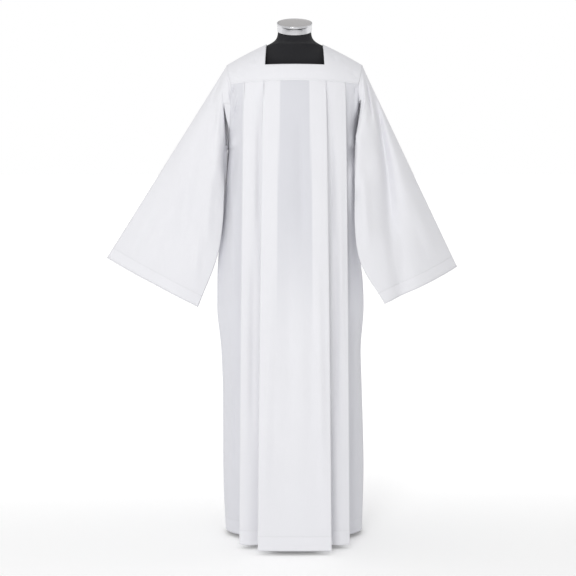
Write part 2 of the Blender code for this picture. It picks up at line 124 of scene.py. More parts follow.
RIGHT_CUFF_TOP = (0.4912, 0.030, 0.8110)
RIGHT_SECTIONS = (
    Section(0.0, 0.188, 0.0, 1.165, 0.09, 0.09, 0.078, 0.078, 0.0, 0.0, 0.0),
    Section(0.05, 0.19, -0.026, 1.153, 0.092, 0.08, 0.078, 0.074, 0.3, -0.01, 0.014),
    Section(0.13, 0.181, -0.09, 1.112, 0.088, 0.05, 0.072, 0.048, 0.6, -0.01, 0.062),
    Section(0.3, 0.1735, -0.108, 1.02, 0.07, 0.04, 0.06, 0.05, 0.8, 0.0, 0.042),
    Section(0.6, 0.183, -0.13, 0.86, 0.048, 0.036, 0.046, 0.05, 0.9, 0.0, 0.016),
    Section(1.0, 0.2592, -0.15, 0.7184, 0.036, 0.036, 0.04, 0.044, 1.0, 0.0, 0.0),
)
Trough = namedtuple("Trough", "start end width depth")
LEFT_TROUGH = Trough(start=0.30, end=0.56, width=0.16, depth=0.007)
RIGHT_TROUGH = Trough(start=0.10, end=0.78, width=0.11, depth=0.016)
RING_COUNT = 140
LAYER_STEPS = 104

# Soft folds: a path of (across, height) points, the half width at its start, middle and end, and how far it
# stands out there
Fold = namedtuple("Fold", "path widths depths")
SEAM_FOLDS = (
    Fold(((-0.1975, 1.385), (-0.1922, 1.339), (-0.1846, 1.289)), (0.0035, 0.0045, 0.004),
         (-0.004, -0.008, -0.004)),
    Fold(((-0.2073, 1.285), (-0.1995, 1.222), (-0.2006, 1.171), (-0.2034, 1.079)), (0.003, 0.0085, 0.006),
         (-0.014, -0.05, -0.03)),
    Fold(((-0.204, 1.324), (-0.1943, 1.289), (-0.1885, 1.254), (-0.1905, 1.215)), (0.004, 0.004, 0.0035),
         (0.002, 0.004, 0.002)),
    Fold(((-0.1765, 1.343), (-0.176, 1.322)), (0.003, 0.0035, 0.003), (-0.006, -0.007, -0.003)),
    Fold(((-0.156, 1.338), (-0.1706, 1.3), (-0.1822, 1.243)), (0.005, 0.005, 0.004), (0.003, 0.005, 0.003)),
    Fold(((-0.16, 1.3), (-0.172, 1.268), (-0.18, 1.235)), (0.005, 0.006, 0.005), (-0.003, -0.006, -0.003)),
    Fold(((0.189, 1.332), (0.1912, 1.272), (0.1856, 1.2335), (0.1811, 1.195), (0.1755, 1.16)),
         (0.004, 0.008, 0.005), (-0.016, -0.045, -0.03)),
    Fold(((0.1752, 1.343), (0.1745, 1.318)), (0.003, 0.0035, 0.003), (-0.004, -0.006, -0.003)),
    Fold(((0.178, 1.338), (0.18, 1.3), (0.179, 1.26)), (0.0035, 0.004, 0.0035), (0.003, 0.004, 0.002)),
)
FRONT_FOLDS = (
    Fold(((-0.16, 1.23), (-0.176, 1.12), (-0.182, 1.0)), (0.008, 0.009, 0.008), (-0.003, -0.005, -0.003)),
    Fold(((-0.176, 1.06), (-0.184, 0.9), (-0.186, 0.7)), (0.01, 0.011, 0.01), (0.003, 0.004, 0.003)),
    Fold(((-0.1, 1.3), (-0.103, 1.1), (-0.105, 0.88)), (0.006, 0.007, 0.007), (-0.003, -0.005, -0.003)),
    Fold(((-0.118, 0.95), (-0.121, 0.6), (-0.124, 0.24)), (0.01, 0.01, 0.009), (-0.003, -0.006, -0.004)),
    Fold(((-0.066, 0.86), (-0.076, 0.5), (-0.088, 0.1)), (0.012, 0.013, 0.012), (0.003, 0.004, 0.004)),
    Fold(((-0.022, 0.98), (-0.018, 0.6), (-0.014, 0.2)), (0.02, 0.022, 0.018), (-0.003, -0.004, -0.003)),
    Fold(((0.012, 1.3), (0.018, 1.08), (0.022, 0.86)), (0.014, 0.015, 0.014), (-0.003, -0.005, -0.003)),
    Fold(((0.064, 0.94), (0.073, 0.55), (0.082, 0.13)), (0.01, 0.011, 0.01), (0.004, 0.006, 0.004)),
    Fold(((0.042, 0.8), (0.044, 0.56), (0.046, 0.26)), (0.014, 0.014, 0.014), (-0.002, -0.003, -0.002)),
    Fold(((0.104, 1.26), (0.106, 1.05), (0.108, 0.82)), (0.007, 0.009, 0.008), (-0.004, -0.01, -0.005)),
    Fold(((0.114, 0.98), (0.116, 0.65), (0.119, 0.28)), (0.009, 0.01, 0.009), (-0.004, -0.008, -0.005)),
    Fold(((0.13, 1.18), (0.134, 0.85), (0.14, 0.48)), (0.007, 0.008, 0.008), (0.002, 0.004, 0.003)),
    Fold(((0.166, 1.1), (0.17, 0.85), (0.172, 0.56)), (0.009, 0.01, 0.009), (-0.004, -0.007, -0.004)),
    Fold(((0.182, 0.7), (0.184, 0.4), (0.184, 0.12)), (0.01, 0.01, 0.01), (0.003, 0.004, 0.003)),
    Fold(((-0.176, 0.52), (-0.18, 0.33), (-0.178, 0.12)), (0.01, 0.011, 0.01), (-0.003, -0.006, -0.004)),
)
BACK_FOLDS = (
    Fold(((-0.158, 1.33), (-0.172, 1.26), (-0.184, 1.19)), (0.006, 0.007, 0.006), (0.003, 0.005, 0.003)),
    Fold(((-0.166, 1.29), (-0.172, 1.18), (-0.176, 1.05)), (0.007, 0.008, 0.007), (-0.003, -0.006, -0.003)),
    Fold(((-0.103, 1.22), (-0.105, 1.0), (-0.107, 0.76)), (0.008, 0.008, 0.008), (-0.004, -0.007, -0.004)),
    Fold(((-0.119, 0.9), (-0.122, 0.58), (-0.125, 0.23)), (0.01, 0.01, 0.009), (-0.003, -0.006, -0.004)),
    Fold(((-0.062, 0.92), (-0.072, 0.52), (-0.082, 0.11)), (0.012, 0.013, 0.012), (0.003, 0.005, 0.004)),
    Fold(((0.008, 1.27), (0.006, 0.85), (0.004, 0.38)), (0.018, 0.02, 0.018), (-0.003, -0.004, -0.003)),
    Fold(((0.058, 0.84), (0.068, 0.5), (0.078, 0.14)), (0.012, 0.012, 0.011), (0.003, 0.005, 0.004)),
    Fold(((0.101, 1.29), (0.103, 1.06), (0.105, 0.8)), (0.007, 0.008, 0.007), (-0.004, -0.007, -0.004)),
    Fold(((0.118, 0.94), (0.122, 0.62), (0.125, 0.33)), (0.01, 0.01, 0.009), (-0.003, -0.005, -0.004)),
    Fold(((0.156, 1.33), (0.17, 1.27), (0.182, 1.2)), (0.006, 0.007, 0.006), (0.003, 0.005, 0.003)),
    Fold(((0.17, 1.08), (0.176, 0.84), (0.178, 0.58)), (0.01, 0.01, 0.01), (0.003, 0.004, 0.003)),
)
YOKE_FOLDS = (
    Fold(((-0.12, 1.425), (-0.108, 1.407)), (0.005, 0.005, 0.005), (-0.002, -0.0022, -0.001)),
    Fold(((-0.132, 1.41), (-0.104, 1.397)), (0.005, 0.006, 0.005), (0.001, 0.0018, 0.001)),
    Fold(((-0.16, 1.394), (-0.148, 1.368)), (0.005, 0.006, 0.005), (-0.001, -0.0024, -0.001)),
    Fold(((-0.182, 1.386), (-0.164, 1.36)), (0.005, 0.006, 0.005), (0.001, 0.0022, 0.001)),
    Fold(((-0.1, 1.384), (0.012, 1.388)), (0.005, 0.005, 0.005), (-0.0006, -0.001, -0.0006)),
    Fold(((0.018, 1.379), (0.092, 1.385)), (0.005, 0.005, 0.005), (0.0006, 0.001, 0.0006)),
    Fold(((0.106, 1.436), (0.12, 1.409)), (0.004, 0.005, 0.004), (-0.001, -0.0026, -0.001)),
    Fold(((0.128, 1.43), (0.152, 1.411)), (0.004, 0.005, 0.004), (-0.001, -0.0022, -0.001)),
    Fold(((0.142, 1.404), (0.168, 1.391)), (0.005, 0.006, 0.005), (0.001, 0.002, 0.001)),
    Fold(((0.158, 1.387), (0.182, 1.364)), (0.005, 0.006, 0.005), (-0.001, -0.002, -0.001)),
)

# Soft folds of the side walls, across being the depth
SIDE_FOLDS = (
    Fold(((-0.045, 1.12), (-0.042, 0.93), (-0.04, 0.74)), (0.012, 0.012, 0.012), (0.003, 0.006, 0.003)),
    Fold(((-0.018, 0.9), (-0.022, 0.62), (-0.026, 0.34)), (0.012, 0.012, 0.012), (-0.003, -0.006, -0.003)),
    Fold(((0.026, 1.06), (0.022, 0.8), (0.02, 0.54)), (0.012, 0.012, 0.012), (0.003, 0.006, 0.003)),
    Fold(((0.046, 0.72), (0.042, 0.42), (0.04, 0.14)), (0.012, 0.012, 0.012), (-0.003, -0.006, -0.003)),
    Fold(((-0.05, 0.56), (-0.048, 0.33), (-0.045, 0.09)), (0.011, 0.011, 0.011), (0.003, 0.005, 0.003)),
)

# Soft folds of the sleeves' layers, across counted outwards
LEFT_FRONT_FOLDS = (
    Fold(((0.204, 1.393), (0.2178, 1.358), (0.2334, 1.32), (0.242, 1.275)), (0.004, 0.0065, 0.009),
         (-0.006, -0.011, -0.004)),
    Fold(((0.216, 1.33), (0.22, 1.27), (0.226, 1.18)), (0.006, 0.007, 0.008), (0.002, 0.005, 0.002)),
    Fold(((0.23, 1.3), (0.242, 1.18), (0.25, 1.05)), (0.009, 0.011, 0.012), (-0.003, -0.005, -0.003)),
    Fold(((0.235, 1.16), (0.248, 1.02), (0.26, 0.85)), (0.012, 0.014, 0.014), (0.003, 0.005, 0.003)),
    Fold(((0.29, 1.2), (0.315, 1.02), (0.35, 0.83)), (0.014, 0.018, 0.018), (-0.003, -0.008, -0.006)),
    Fold(((0.34, 1.08), (0.385, 0.94), (0.425, 0.83)), (0.016, 0.02, 0.018), (0.003, 0.005, 0.003)),
    Fold(((0.398, 1.0), (0.448, 0.9), (0.49, 0.83)), (0.012, 0.014, 0.014), (-0.002, -0.004, -0.003)),
    Fold(((0.275, 0.96), (0.285, 0.86), (0.296, 0.76)), (0.012, 0.013, 0.012), (0.002, 0.004, 0.003)),
)
RIGHT_FRONT_FOLDS = (
    Fold(((0.1975, 1.393), (0.2, 1.35), (0.2026, 1.3), (0.199, 1.243)), (0.003, 0.0035, 0.005),
         (0.003, 0.006, 0.004)),
    Fold(((0.205, 1.38), (0.2125, 1.335), (0.2215, 1.28), (0.231, 1.215)), (0.003, 0.0055, 0.006),
         (-0.014, -0.024, -0.008)),
    Fold(((0.2175, 1.385), (0.2294, 1.343), (0.2425, 1.289), (0.258, 1.177), (0.268, 1.119), (0.285, 0.88)),
         (0.005, 0.014, 0.018), (-0.015, -0.0235, -0.011)),
    Fold(((0.215, 1.34), (0.223, 1.29), (0.23, 1.22)), (0.003, 0.004, 0.005), (0.003, 0.005, 0.002)),
    Fold(((0.26, 1.27), (0.31, 1.12), (0.375, 0.94), (0.42, 0.84)), (0.014, 0.03, 0.034),
         (0.004, 0.02, 0.018)),
    Fold(((0.196, 1.13), (0.201, 1.0), (0.215, 0.85)), (0.014, 0.017, 0.017), (0.006, 0.011, 0.007)),
    Fold(((0.248, 1.13), (0.262, 1.02), (0.283, 0.86)), (0.022, 0.028, 0.03), (-0.008, -0.015, -0.01)),
    Fold(((0.33, 1.07), (0.36, 0.94), (0.39, 0.82)), (0.014, 0.017, 0.016), (-0.002, -0.004, -0.003)),
    Fold(((0.285, 0.98), (0.295, 0.88), (0.302, 0.78)), (0.012, 0.013, 0.012), (0.002, 0.004, 0.003)),
)
SLEEVE_BACK_FOLDS = (
    Fold(((0.205, 1.385), (0.223, 1.33), (0.242, 1.23)), (0.005, 0.008, 0.01), (-0.004, -0.01, -0.004)),
    Fold(((0.216, 1.37), (0.242, 1.28), (0.275, 1.14)), (0.006, 0.009, 0.011), (0.003, 0.006, 0.003)),
    Fold(((0.238, 1.22), (0.256, 1.08), (0.27, 0.9)), (0.01, 0.012, 0.012), (-0.003, -0.006, -0.003)),
    Fold(((0.295, 1.18), (0.325, 1.02), (0.365, 0.83)), (0.014, 0.017, 0.016), (-0.003, -0.007, -0.004)),
    Fold(((0.32, 1.03), (0.34, 0.92), (0.36, 0.81)), (0.014, 0.015, 0.014), (0.002, 0.004, 0.003)),
)

# Where each sleeve's front turns beside the armhole: the turn's place at each height, where the groove
# between it and the seam starts, and how deep that goes, as a share of the seam's depth
Lead = namedtuple("Lead", "z x y start groove")
LEFT_LEAD = (
    Lead(0.96, 0.211, -0.062, 0.1965, 0.0),
    Lead(1.04, 0.2062, -0.064, 0.1965, 0.0),
    Lead(1.12, 0.207, -0.068, 0.1965, 0.0),
    Lead(1.165, 0.2075, -0.07, 0.1965, 0.3),
    Lead(1.205, 0.208, -0.072, 0.1925, 0.8),
    Lead(1.232, 0.2088, -0.073, 0.195, 0.85),
    Lead(1.254, 0.2096, -0.073, 0.2005, 0.75),
    Lead(1.276, 0.2106, -0.072, 0.204, 0.5),
    Lead(1.292, 0.2114, -0.071, 0.206, 0.15),
    Lead(1.32, 0.2125, -0.068, 0.207, 0.0),
)
RIGHT_LEAD = (
    Lead(1.02, 0.173, -0.108, 0.188, 0.0),
    Lead(1.1, 0.173, -0.104, 0.188, 0.0),
    Lead(1.161, 0.174, -0.098, 0.188, 0.0),
    Lead(1.199, 0.1797, -0.094, 0.188, 0.3),
    Lead(1.238, 0.1874, -0.09, 0.1861, 0.7),
    Lead(1.287, 0.1945, -0.084, 0.1854, 0.6),
    Lead(1.33, 0.203, -0.076, 0.185, 0.0),
)

# How wide the turn rises, over what width it fades outwards, how far it lies beside the seam, and the
# height step at which it is measured
LEAD_RISE = 0.0065
LEAD_FADE = (0.010, 0.060)
LEAD_CLEAR = 0.0115
LEAD_STEP = 0.004

# The left sleeve's wall beside the body: its gap, how that narrows forwards, and how near it has to be
WALL_GAP = 0.0012
WALL_NARROWING = 0.06
WALL_REACH = (0.040, 0.080)

# Studio: the floor's glow and where along Y it grows, the sky's level all round, its lean to the left, the
# lift overhead and the band of white above the horizon, the key light, and half the floor's width
FLOOR_GLOW = (0.14, 0.50)
GLOW_REACH = (-0.30, 1.60)
SKY_SIDE = 0.275
SKY_LEAN = 0.08
SKY_TOP = 0.80
HORIZON = (0.30, 0.17)
KEY_POWER = 60.0
KEY_PLACE = (-1.2, -4.3, 2.5)
KEY_AIM = (0, 0, 0.8)
KEY_SIZE = (1.4, 2.0)
FLOOR_HALF = 200

# Camera: lens and sensor in millimetres, place, and tilt down in degrees
LENS = 73.29
SENSOR_WIDTH = 36.0
CAMERA_PLACE = (-0.0192, -3.5, 1.1037)
CAMERA_TILT = 5.78

# How far the right flank comes forward under the sleeve, inside and outside the second fold, where that ends
# across, at the bottom and at the top, and how strongly the flanks' single cloth is tinted darker: partly its
# own thinness, partly painted shade for the recessed flanks
FLANK_LIFT = (0.017, 0.014)
FLANK_END = (0.166, 0.190)
FLANK_LOW = (0.60, 0.90)
FLANK_HIGH = (1.08, 1.16)
FLANK_SHEER_AND_SHADE = 0.75

# The neck's base, as in the model: its radius, the heights where the chest meets it, and the slope there
NECK_BASE_RADIUS = 0.069
NECK_BASE_Z = (1.430, 1.4635)
NECK_BASE_SLOPE = 0.20

# The neck cap, as in the model: its place, its radius, height, rim and the step below the rim
NECK_CENTRE_Y = -0.006
NECK_TOP_Z = 1.5065
NECK_LEAN = 21.0
CAP_GAP = 0.00039
CAP_RADIUS = 0.0515
CAP_HEIGHT = 0.0245
CAP_LIP = 0.0022
CAP_EDGE = 0.0060
CAP_SIDES = 96

# What each cloth piece was cut from: its width and length laid flat, and its area
Cut = namedtuple("Cut", "width length area")
FRONT_PANEL_CUT = Cut(0.978, 1.375, 1.268)
BACK_PANEL_CUT = Cut(0.938, 1.370, 1.220)
FRONT_YOKE_CUT = Cut(0.427, 0.186, 0.045)
BACK_YOKE_CUT = Cut(0.427, 0.173, 0.050)
SLEEVE_CUT = Cut(0.660, 0.670, 0.306)

# The weave's pitch, the width of the shade along a row of stitches, and the tint of a single layer against
# doubled ones, which on the flanks is also painted shade
WEAVE_PITCH = 0.0011
STITCH_LINE = 0.0016
SINGLE_TINT_AND_SHADE = (0.825, 0.830, 0.850)

# Stitches, and how far above its lower edge the yoke is stitched down
YOKE_STITCH = 0.004
STITCH_PITCH = 0.0038
STITCH_LENGTH = 0.0026
STITCH_RADIUS = 0.00030


# Shared shape functions
def between(low, high, share):
    return low + (high - low) * share


def ease(share):
    share = min(max(share, 0.0), 1.0)
    return share * share * (3 - 2 * share)


def smooth_through(rows, at):
    """The values of a table at a place in its first column, on a cubic with no sudden bend."""
    table = np.array(rows, float)
    knots = table[:, 0]
    slopes = np.gradient(table, knots, axis=0)
    i = int(np.clip(np.searchsorted(knots, at) - 1, 0, len(knots) - 2))
    span = knots[i + 1] - knots[i]
    t = (at - knots[i]) / span
    start = (1 + 2 * t) * (1 - t) ** 2 * table[i] + t * (1 - t) ** 2 * span * slopes[i]
    end = t * t * (3 - 2 * t) * table[i + 1] - t * t * (1 - t) * span * slopes[i + 1]
    return (start + end)[1:]


def bezier(p0, p1, p2, p3, share):
    rest = 1 - share
    weights = (rest**3, 3 * rest * rest * share, 3 * rest * share * share, share**3)
    return tuple(sum(w * p[k] for w, p in zip(weights, (p0, p1, p2, p3))) for k in range(len(p0)))


def pleats_at(z):
    opened = max(0.0, (SEAM_Z - z) / (SEAM_Z - HEM_Z)) ** FLARE_POWER
    return Pleats(*(between(a, b, opened) for a, b in zip(AT_SEAM, AT_HEM)))


def side_width(z, right):
    left_width, right_width = smooth_through(SIDES, min(z, UNDERARM_Z))
    return right_width if right else left_width


def armhole_below_seam(z, right):
    """(half width, front depth) of the armhole edge at a height between the underarm and the yoke seam."""
    fall = min(1.0, (SEAM_Z - z) / (SEAM_Z - UNDERARM_Z))
    depth = ARMHOLE_DEPTH * math.sqrt(max(0.0, 1 - fall * fall))
    return between(ARMHOLE_X, side_width(UNDERARM_Z, right), fall * fall), depth


def seam_fall(x, z):
    ramp = min(1.0, max(0.0, (z - UNDERARM_Z) / (SEAM_Z - UNDERARM_Z)))
    return SEAM_DROP * (x / ARMHOLE_X) ** 2 * ramp


def arc(centre_x, centre_depth, radius, start, end):
    angles = np.radians(np.linspace(start, end, ARC_STEPS + 1))
    return [(centre_x + radius * math.cos(a), centre_depth + radius * math.sin(a)) for a in angles]


def tuck(fold_x, fold_depth, tuck_depth, emerge_depth, width, bend):
    """A knife pleat: the outer fold, the hidden layer back to the inner fold, and out again."""
    outer = arc(fold_x - bend, fold_depth - bend, bend, 90, -90)
    inner = arc(fold_x - width + bend, tuck_depth - bend, bend, 90, 270)
    points = list(outer)
    for i in range(1, TUCK_STEPS):
        points.append(tuple(between(a, b, i / TUCK_STEPS) for a, b in zip(outer[-1], inner[0])))
    points += inner
    for i in range(1, TUCK_STEPS + 1):
        points.append(tuple(between(a, b, i / TUCK_STEPS) for a, b in zip(inner[-1], (fold_x, emerge_depth))))
    return points


def flank(start, z, right):
    """From below the second fold round to the side seam or, above the underarm, to the armhole."""
    if z <= UNDERARM_Z:
        edge = (side_width(z, right), 0.0)
        along_side = 1.0
    else:
        edge = armhole_below_seam(z, right)
        along_side = 1 - ease((z - UNDERARM_Z) / 0.10)
    reach = between(0.012, 0.50 * start[1], along_side)
    direction = (-(1 - along_side), along_side)
    before_edge = (edge[0] + reach * direction[0], edge[1] + reach * direction[1])
    after_start = (between(start[0], edge[0], 0.42), between(start[1], before_edge[1], 0.30))
    shares = [(i + 1) / FLANK_STEPS for i in range(FLANK_STEPS)]
    return [bezier(start, after_start, before_edge, edge, s) for s in shares]


def half_section(z, right):
    """Half a pleated panel in plan at a height, from the middle to its side edge: (across, depth) pairs."""
    p = pleats_at(z)
    points = []
    for i in range(CENTRE_STEPS):
        x = (p.fold1 - p.bend) * i / CENTRE_STEPS
        points.append((x, p.centre - p.sag * (x / p.fold1) ** 2))
    points += tuck(p.fold1, p.centre - p.sag, p.tuck1, p.under1, p.tuck_width, p.bend)
    for i in range(1, STRIP_STEPS):
        share = i / STRIP_STEPS
        x = between(p.fold1, p.fold2 - p.bend, share)
        points.append((x, between(p.under1, p.strip, share) + p.bow * math.sin(math.pi * share)))
    points += tuck(p.fold2, p.strip, p.tuck2, p.under2, p.tuck_width, p.bend)
    return points + flank(points[-1], z, right)


# Soft folds
def fold_line(path):
    """Many points along a smooth curve through a fold's path."""
    way = np.array(path, float)
    steps = np.linalg.norm(np.diff(way, axis=0), axis=1)
    at = np.concatenate(([0.0], np.cumsum(steps)))
    at /= at[-1]
    return np.array([smooth_through(np.column_stack((at, way)), t) for t in np.linspace(0, 1, 33)])


def fold_height(folds, across, z):
    """How far soft folds stand out at points, each fading out towards its ends."""
    total = np.zeros_like(across)
    for f in folds:
        line = fold_line(f.path)
        nearest = np.full(across.shape, np.inf)
        along = np.zeros(across.shape)
        for i in range(len(line) - 1):
            run = line[i + 1] - line[i]
            share = ((across - line[i, 0]) * run[0] + (z - line[i, 1]) * run[1]) / (run @ run)
            share = np.clip(share, 0, 1)
            off = np.hypot(across - line[i, 0] - share * run[0], z - line[i, 1] - share * run[1])
            closer = off < nearest
            nearest = np.where(closer, off, nearest)
            along = np.where(closer, (i + share) / (len(line) - 1), along)
        width = np.interp(along, (0, 0.5, 1), f.widths)
        depth = np.interp(along, (0, 0.5, 1), f.depths)
        end = np.clip(np.minimum(along, 1 - along) / 0.30, 0, 1)
        total += depth * end * end * (3 - 2 * end) * np.exp(-((nearest / width) ** 2))
    return total


def smoothed(value, low, high):
    share = np.clip((value - low) / (high - low), 0, 1)
    return share * share * (3 - 2 * share)


def seam_shift(x, y, z):
    """How far the creases beside the armhole push the cloth in or out, never past the garment's middle."""
    wanted = fold_height(SEAM_FOLDS, x, z)
    limit = np.maximum(0.9 * np.abs(y), 0.0001)
    return limit * np.tanh(wanted / limit)


def soften_body(points, facing):
    """Adds the body's soft folds, the same for every layer at a place, so no layer crosses another."""
    x, y, z = points[..., 0].copy(), points[..., 1].copy(), points[..., 2].copy()
    folds = FRONT_FOLDS if facing < 0 else BACK_FOLDS
    to_side = smoothed(np.abs(x), 0.170, 0.200) * smoothed(-np.abs(y), -0.10, -0.05)
    near_seam = 1 - smoothed(z, SEAM_Z - 0.060, SEAM_Z - 0.004)
    at_armhole = np.where(z > UNDERARM_Z - 0.02, smoothed(ARMHOLE_X + 0.008 - np.abs(x), 0.0, 0.025), 1.0)
    out = fold_height(folds, x, z) * (1 - to_side) * near_seam * at_armhole
    out += 0.0012 * np.sin(x * 61 + z * 4.1) * np.sin(z * 7.3 + x * 9) * smoothed(1.3 - z, 0, 0.5)
    side = fold_height(SIDE_FOLDS, np.sign(x) * y, z) * to_side * smoothed(UNDERARM_Z - z, 0.02, 0.10)
    at_side_seam = smoothed(np.abs(y), 0.0, 0.012)
    points[..., 1] = y + facing * (out * at_side_seam + seam_shift(x, y, z))
    points[..., 0] = x + np.sign(x) * side * at_side_seam
    return points


# Meshes
def put(name, data):
    """Puts mesh, light or camera data into the scene as an object."""
    obj = bpy.data.objects.new(name, data)
    scene.collection.objects.link(obj)
    return obj


def surface(name, points, uv, attributes=None, closed=False, keep=None):
    """An open surface through a grid of points, with cloth coordinates in metres and named values."""
    rows, columns = points.shape[:2]
    vertices = points.reshape(-1, 3)
    faces, corners = [], []
    for i in range(rows - 1):
        for j in range(columns if closed else columns - 1):
            if keep is not None and not keep(i, j):
                continue
            k = (j + 1) % columns
            faces.append((i * columns + j, i * columns + k, (i + 1) * columns + k, (i + 1) * columns + j))
            last = uv[i][columns - 1] + (uv[i][1] - uv[i][0]) if k == 0 else uv[i][k]
            above = uv[i + 1][columns - 1] + (uv[i + 1][1] - uv[i + 1][0]) if k == 0 else uv[i + 1][k]
            corners += [uv[i][j], last, above, uv[i + 1][j]]
    mesh = bpy.data.meshes.new(name)
    mesh.from_pydata([tuple(v) for v in vertices], [], faces)
    layer = mesh.uv_layers.new(name="cloth")
    layer.data.foreach_set("uv", np.array(corners, float).ravel())
    for key, values in (attributes or {}).items():
        made = mesh.attributes.new(key, "FLOAT", "POINT")
        made.data.foreach_set("value", np.asarray(values, float).ravel())
    work = bmesh.new()
    work.from_mesh(mesh)
    bmesh.ops.delete(work, geom=[v for v in work.verts if not v.link_faces], context="VERTS")
    work.to_mesh(mesh)
    work.free()
    mesh.shade_smooth()
    return put(name, mesh)


def face_out(obj, centre):
    """Turns the faces away from a point inside."""
    work = bmesh.new()
    work.from_mesh(obj.data)
    bmesh.ops.recalc_face_normals(work, faces=work.faces)
    outward = sum((f.calc_center_median() - Vector(centre)).dot(f.normal) * f.calc_area() for f in work.faces)
    if outward < 0:
        bmesh.ops.reverse_faces(work, faces=work.faces)
    work.to_mesh(obj.data)
    work.free()


def give_wall(obj, thickness, turned_up=None):
    """Gives the cloth its wall, twice as thick where the edge is turned up."""
    wall = obj.modifiers.new("Wall", "SOLIDIFY")
    wall.thickness = thickness
    wall.offset = 0.0
    if turned_up is not None:
        group = obj.vertex_groups.new(name="turned_up")
        group.add([int(i) for i in np.flatnonzero(turned_up)], 1.0, "REPLACE")
        wall.thickness = 2 * thickness
        wall.vertex_group = group.name
        wall.thickness_vertex_group = 0.5


def cloth_coordinates(points):
    """(across, along) in metres on the cloth: measured along the middle row and each height."""
    middle = points[len(points) // 2]
    steps = np.linalg.norm(np.diff(middle, axis=0), axis=1)
    across = np.concatenate(([0.0], np.cumsum(steps)))
    column = points[:, points.shape[1] // 2]
    rises = np.linalg.norm(np.diff(column, axis=0), axis=1)
    along = np.concatenate(([0.0], np.cumsum(rises)))
    return np.stack(np.broadcast_arrays(across[None, :], along[:, None]), axis=2)


def panel_heights():
    """Heights of the fine rows, closer together by the hem's stitching, the underarm and the yoke."""
    low = list(np.linspace(HEM_Z, HEM_Z + 0.06, 13))
    middle = list(np.linspace(HEM_Z + 0.06, 1.12, 118))[1:]
    arm = list(np.linspace(1.12, 1.20, 14))[1:]
    high = list(np.linspace(1.20, SEAM_Z, 27))[1:]
    return low + middle + arm + high + [SEAM_Z + TUCKED_IN]


def outer_depth(x):
    """Depth of the cloth that shows at the yoke seam."""
    p = AT_SEAM
    if x < p.fold1:
        return p.centre - p.sag * (x / p.fold1) ** 2
    if x < p.fold2:
        share = (x - p.fold1) / (p.fold2 - p.bend - p.fold1)
        return between(p.under1, p.strip, share) + p.bow * math.sin(math.pi * min(share, 1.0))
    flank_line = np.array([(p.fold2, p.under2)] + flank((p.fold2, p.under2), SEAM_Z, True))
    return float(np.interp(x, flank_line[:, 0], flank_line[:, 1]))


def under_sleeve(x, y, z):
    """How far the right flank comes forward where the sleeve lies over it, from inside the second fold on."""
    fold = np.array([pleats_at(h).fold2 for h in z.ravel()]).reshape(z.shape)
    lift = FLANK_LIFT[0] * smoothed(x, fold - 0.040, fold - 0.002)
    lift = lift + FLANK_LIFT[1] * smoothed(x, fold - 0.004, fold + 0.020)
    lift = lift * (1 - smoothed(x, *FLANK_END))
    lift = lift * smoothed(z, *FLANK_LOW) * (1 - smoothed(z, *FLANK_HIGH))
    emerging = np.arange(x.shape[1]) > x.shape[1] - 1 - FLANK_STEPS - TUCK_STEPS
    return lift * smoothed(-y, 0.0, 0.05) * emerging[None, :]


def meet_yoke(x, z):
    """How far the panel comes forward near its top to lie against the yoke's lower edge."""
    inside = min(x, ARMHOLE_X)
    return (yoke_depth(inside) - UNDER_YOKE - outer_depth(inside)) * ease((z - SEAM_Z + MEET_RUN) / MEET_RUN)


def panel_points(facing, share):
    rows = []
    for z in panel_heights():
        row = []
        for right in (False, True):
            sign = 1 if right else -1
            half = []
            for x, depth in half_section(min(z, SEAM_Z), right):
                depth += meet_yoke(x, z)
                half.append((sign * x, facing * max(depth * share, 0.0002), z - seam_fall(x, z)))
            row = half[:0:-1] if not right else row + half
        rows.append(row)
    return np.array(rows)


def build_panel(name, facing, share, look):
    points = panel_points(facing, share)
    heights = points[..., 2].copy()
    across = np.abs(points[..., 0])
    inner = np.array([[pleats_at(z).fold1 - pleats_at(z).tuck_width for z in panel_heights()]]).T
    single = 1 - smoothed(across, inner - 0.0015, inner + 0.0015)
    outer = np.array([[pleats_at(z).fold2 for z in panel_heights()]]).T
    half = (points.shape[1] - 1) // 2
    flank_columns = np.abs(np.arange(points.shape[1]) - half) > half - FLANK_STEPS
    # The flanks' darker tint: the single cloth's thinness and painted shade for their recess outside the
    # second fold
    flank_sheer_and_shade = flank_columns[None, :] * smoothed(across, outer - 0.001, outer + 0.006)
    sheer_and_shade = single * smoothed(heights, 0.55, 1.05) + FLANK_SHEER_AND_SHADE * flank_sheer_and_shade
    if facing < 0:
        points[..., 1] -= under_sleeve(points[..., 0], points[..., 1], heights)
    points = soften_body(points, facing)
    hem = heights - HEM_Z
    obj = surface(name, points, cloth_coordinates(points), {"hem": hem, "sheer_and_shade": sheer_and_shade})
    face_out(obj, (0, 0, 0.7))
    give_wall(obj, CLOTH, hem < BODY_HEM)
    obj.data.materials.append(look)
    return obj, points, hem


def ridge_z(x):
    share = (x - NECK_HALF_AT_RIDGE) / (TIP_X - NECK_HALF_AT_RIDGE)
    return between(NECK_Z, TIP_Z, max(0.0, share)) + 0.002 * math.sin(math.pi * min(1.0, max(0.0, share)))


def yoke_depth(x):
    return between(YOKE_DEPTH, ARMHOLE_DEPTH, (x / ARMHOLE_X) ** YOKE_ROUNDNESS)


def yoke_point(column, angle):
    rise = math.sin(math.radians(angle))
    if column <= NECK_HALF_AT_SEAM:
        top_x = column * NECK_HALF_AT_RIDGE / NECK_HALF_AT_SEAM
    else:
        share = (column - NECK_HALF_AT_SEAM) / (ARMHOLE_X - NECK_HALF_AT_SEAM)
        top_x = between(NECK_HALF_AT_RIDGE, TIP_X, share)
    x = between(column, top_x, rise)
    foot_z = SEAM_Z - seam_fall(column, SEAM_Z)
    return x, yoke_depth(column) * math.cos(math.radians(angle)), between(foot_z, ridge_z(top_x), rise)


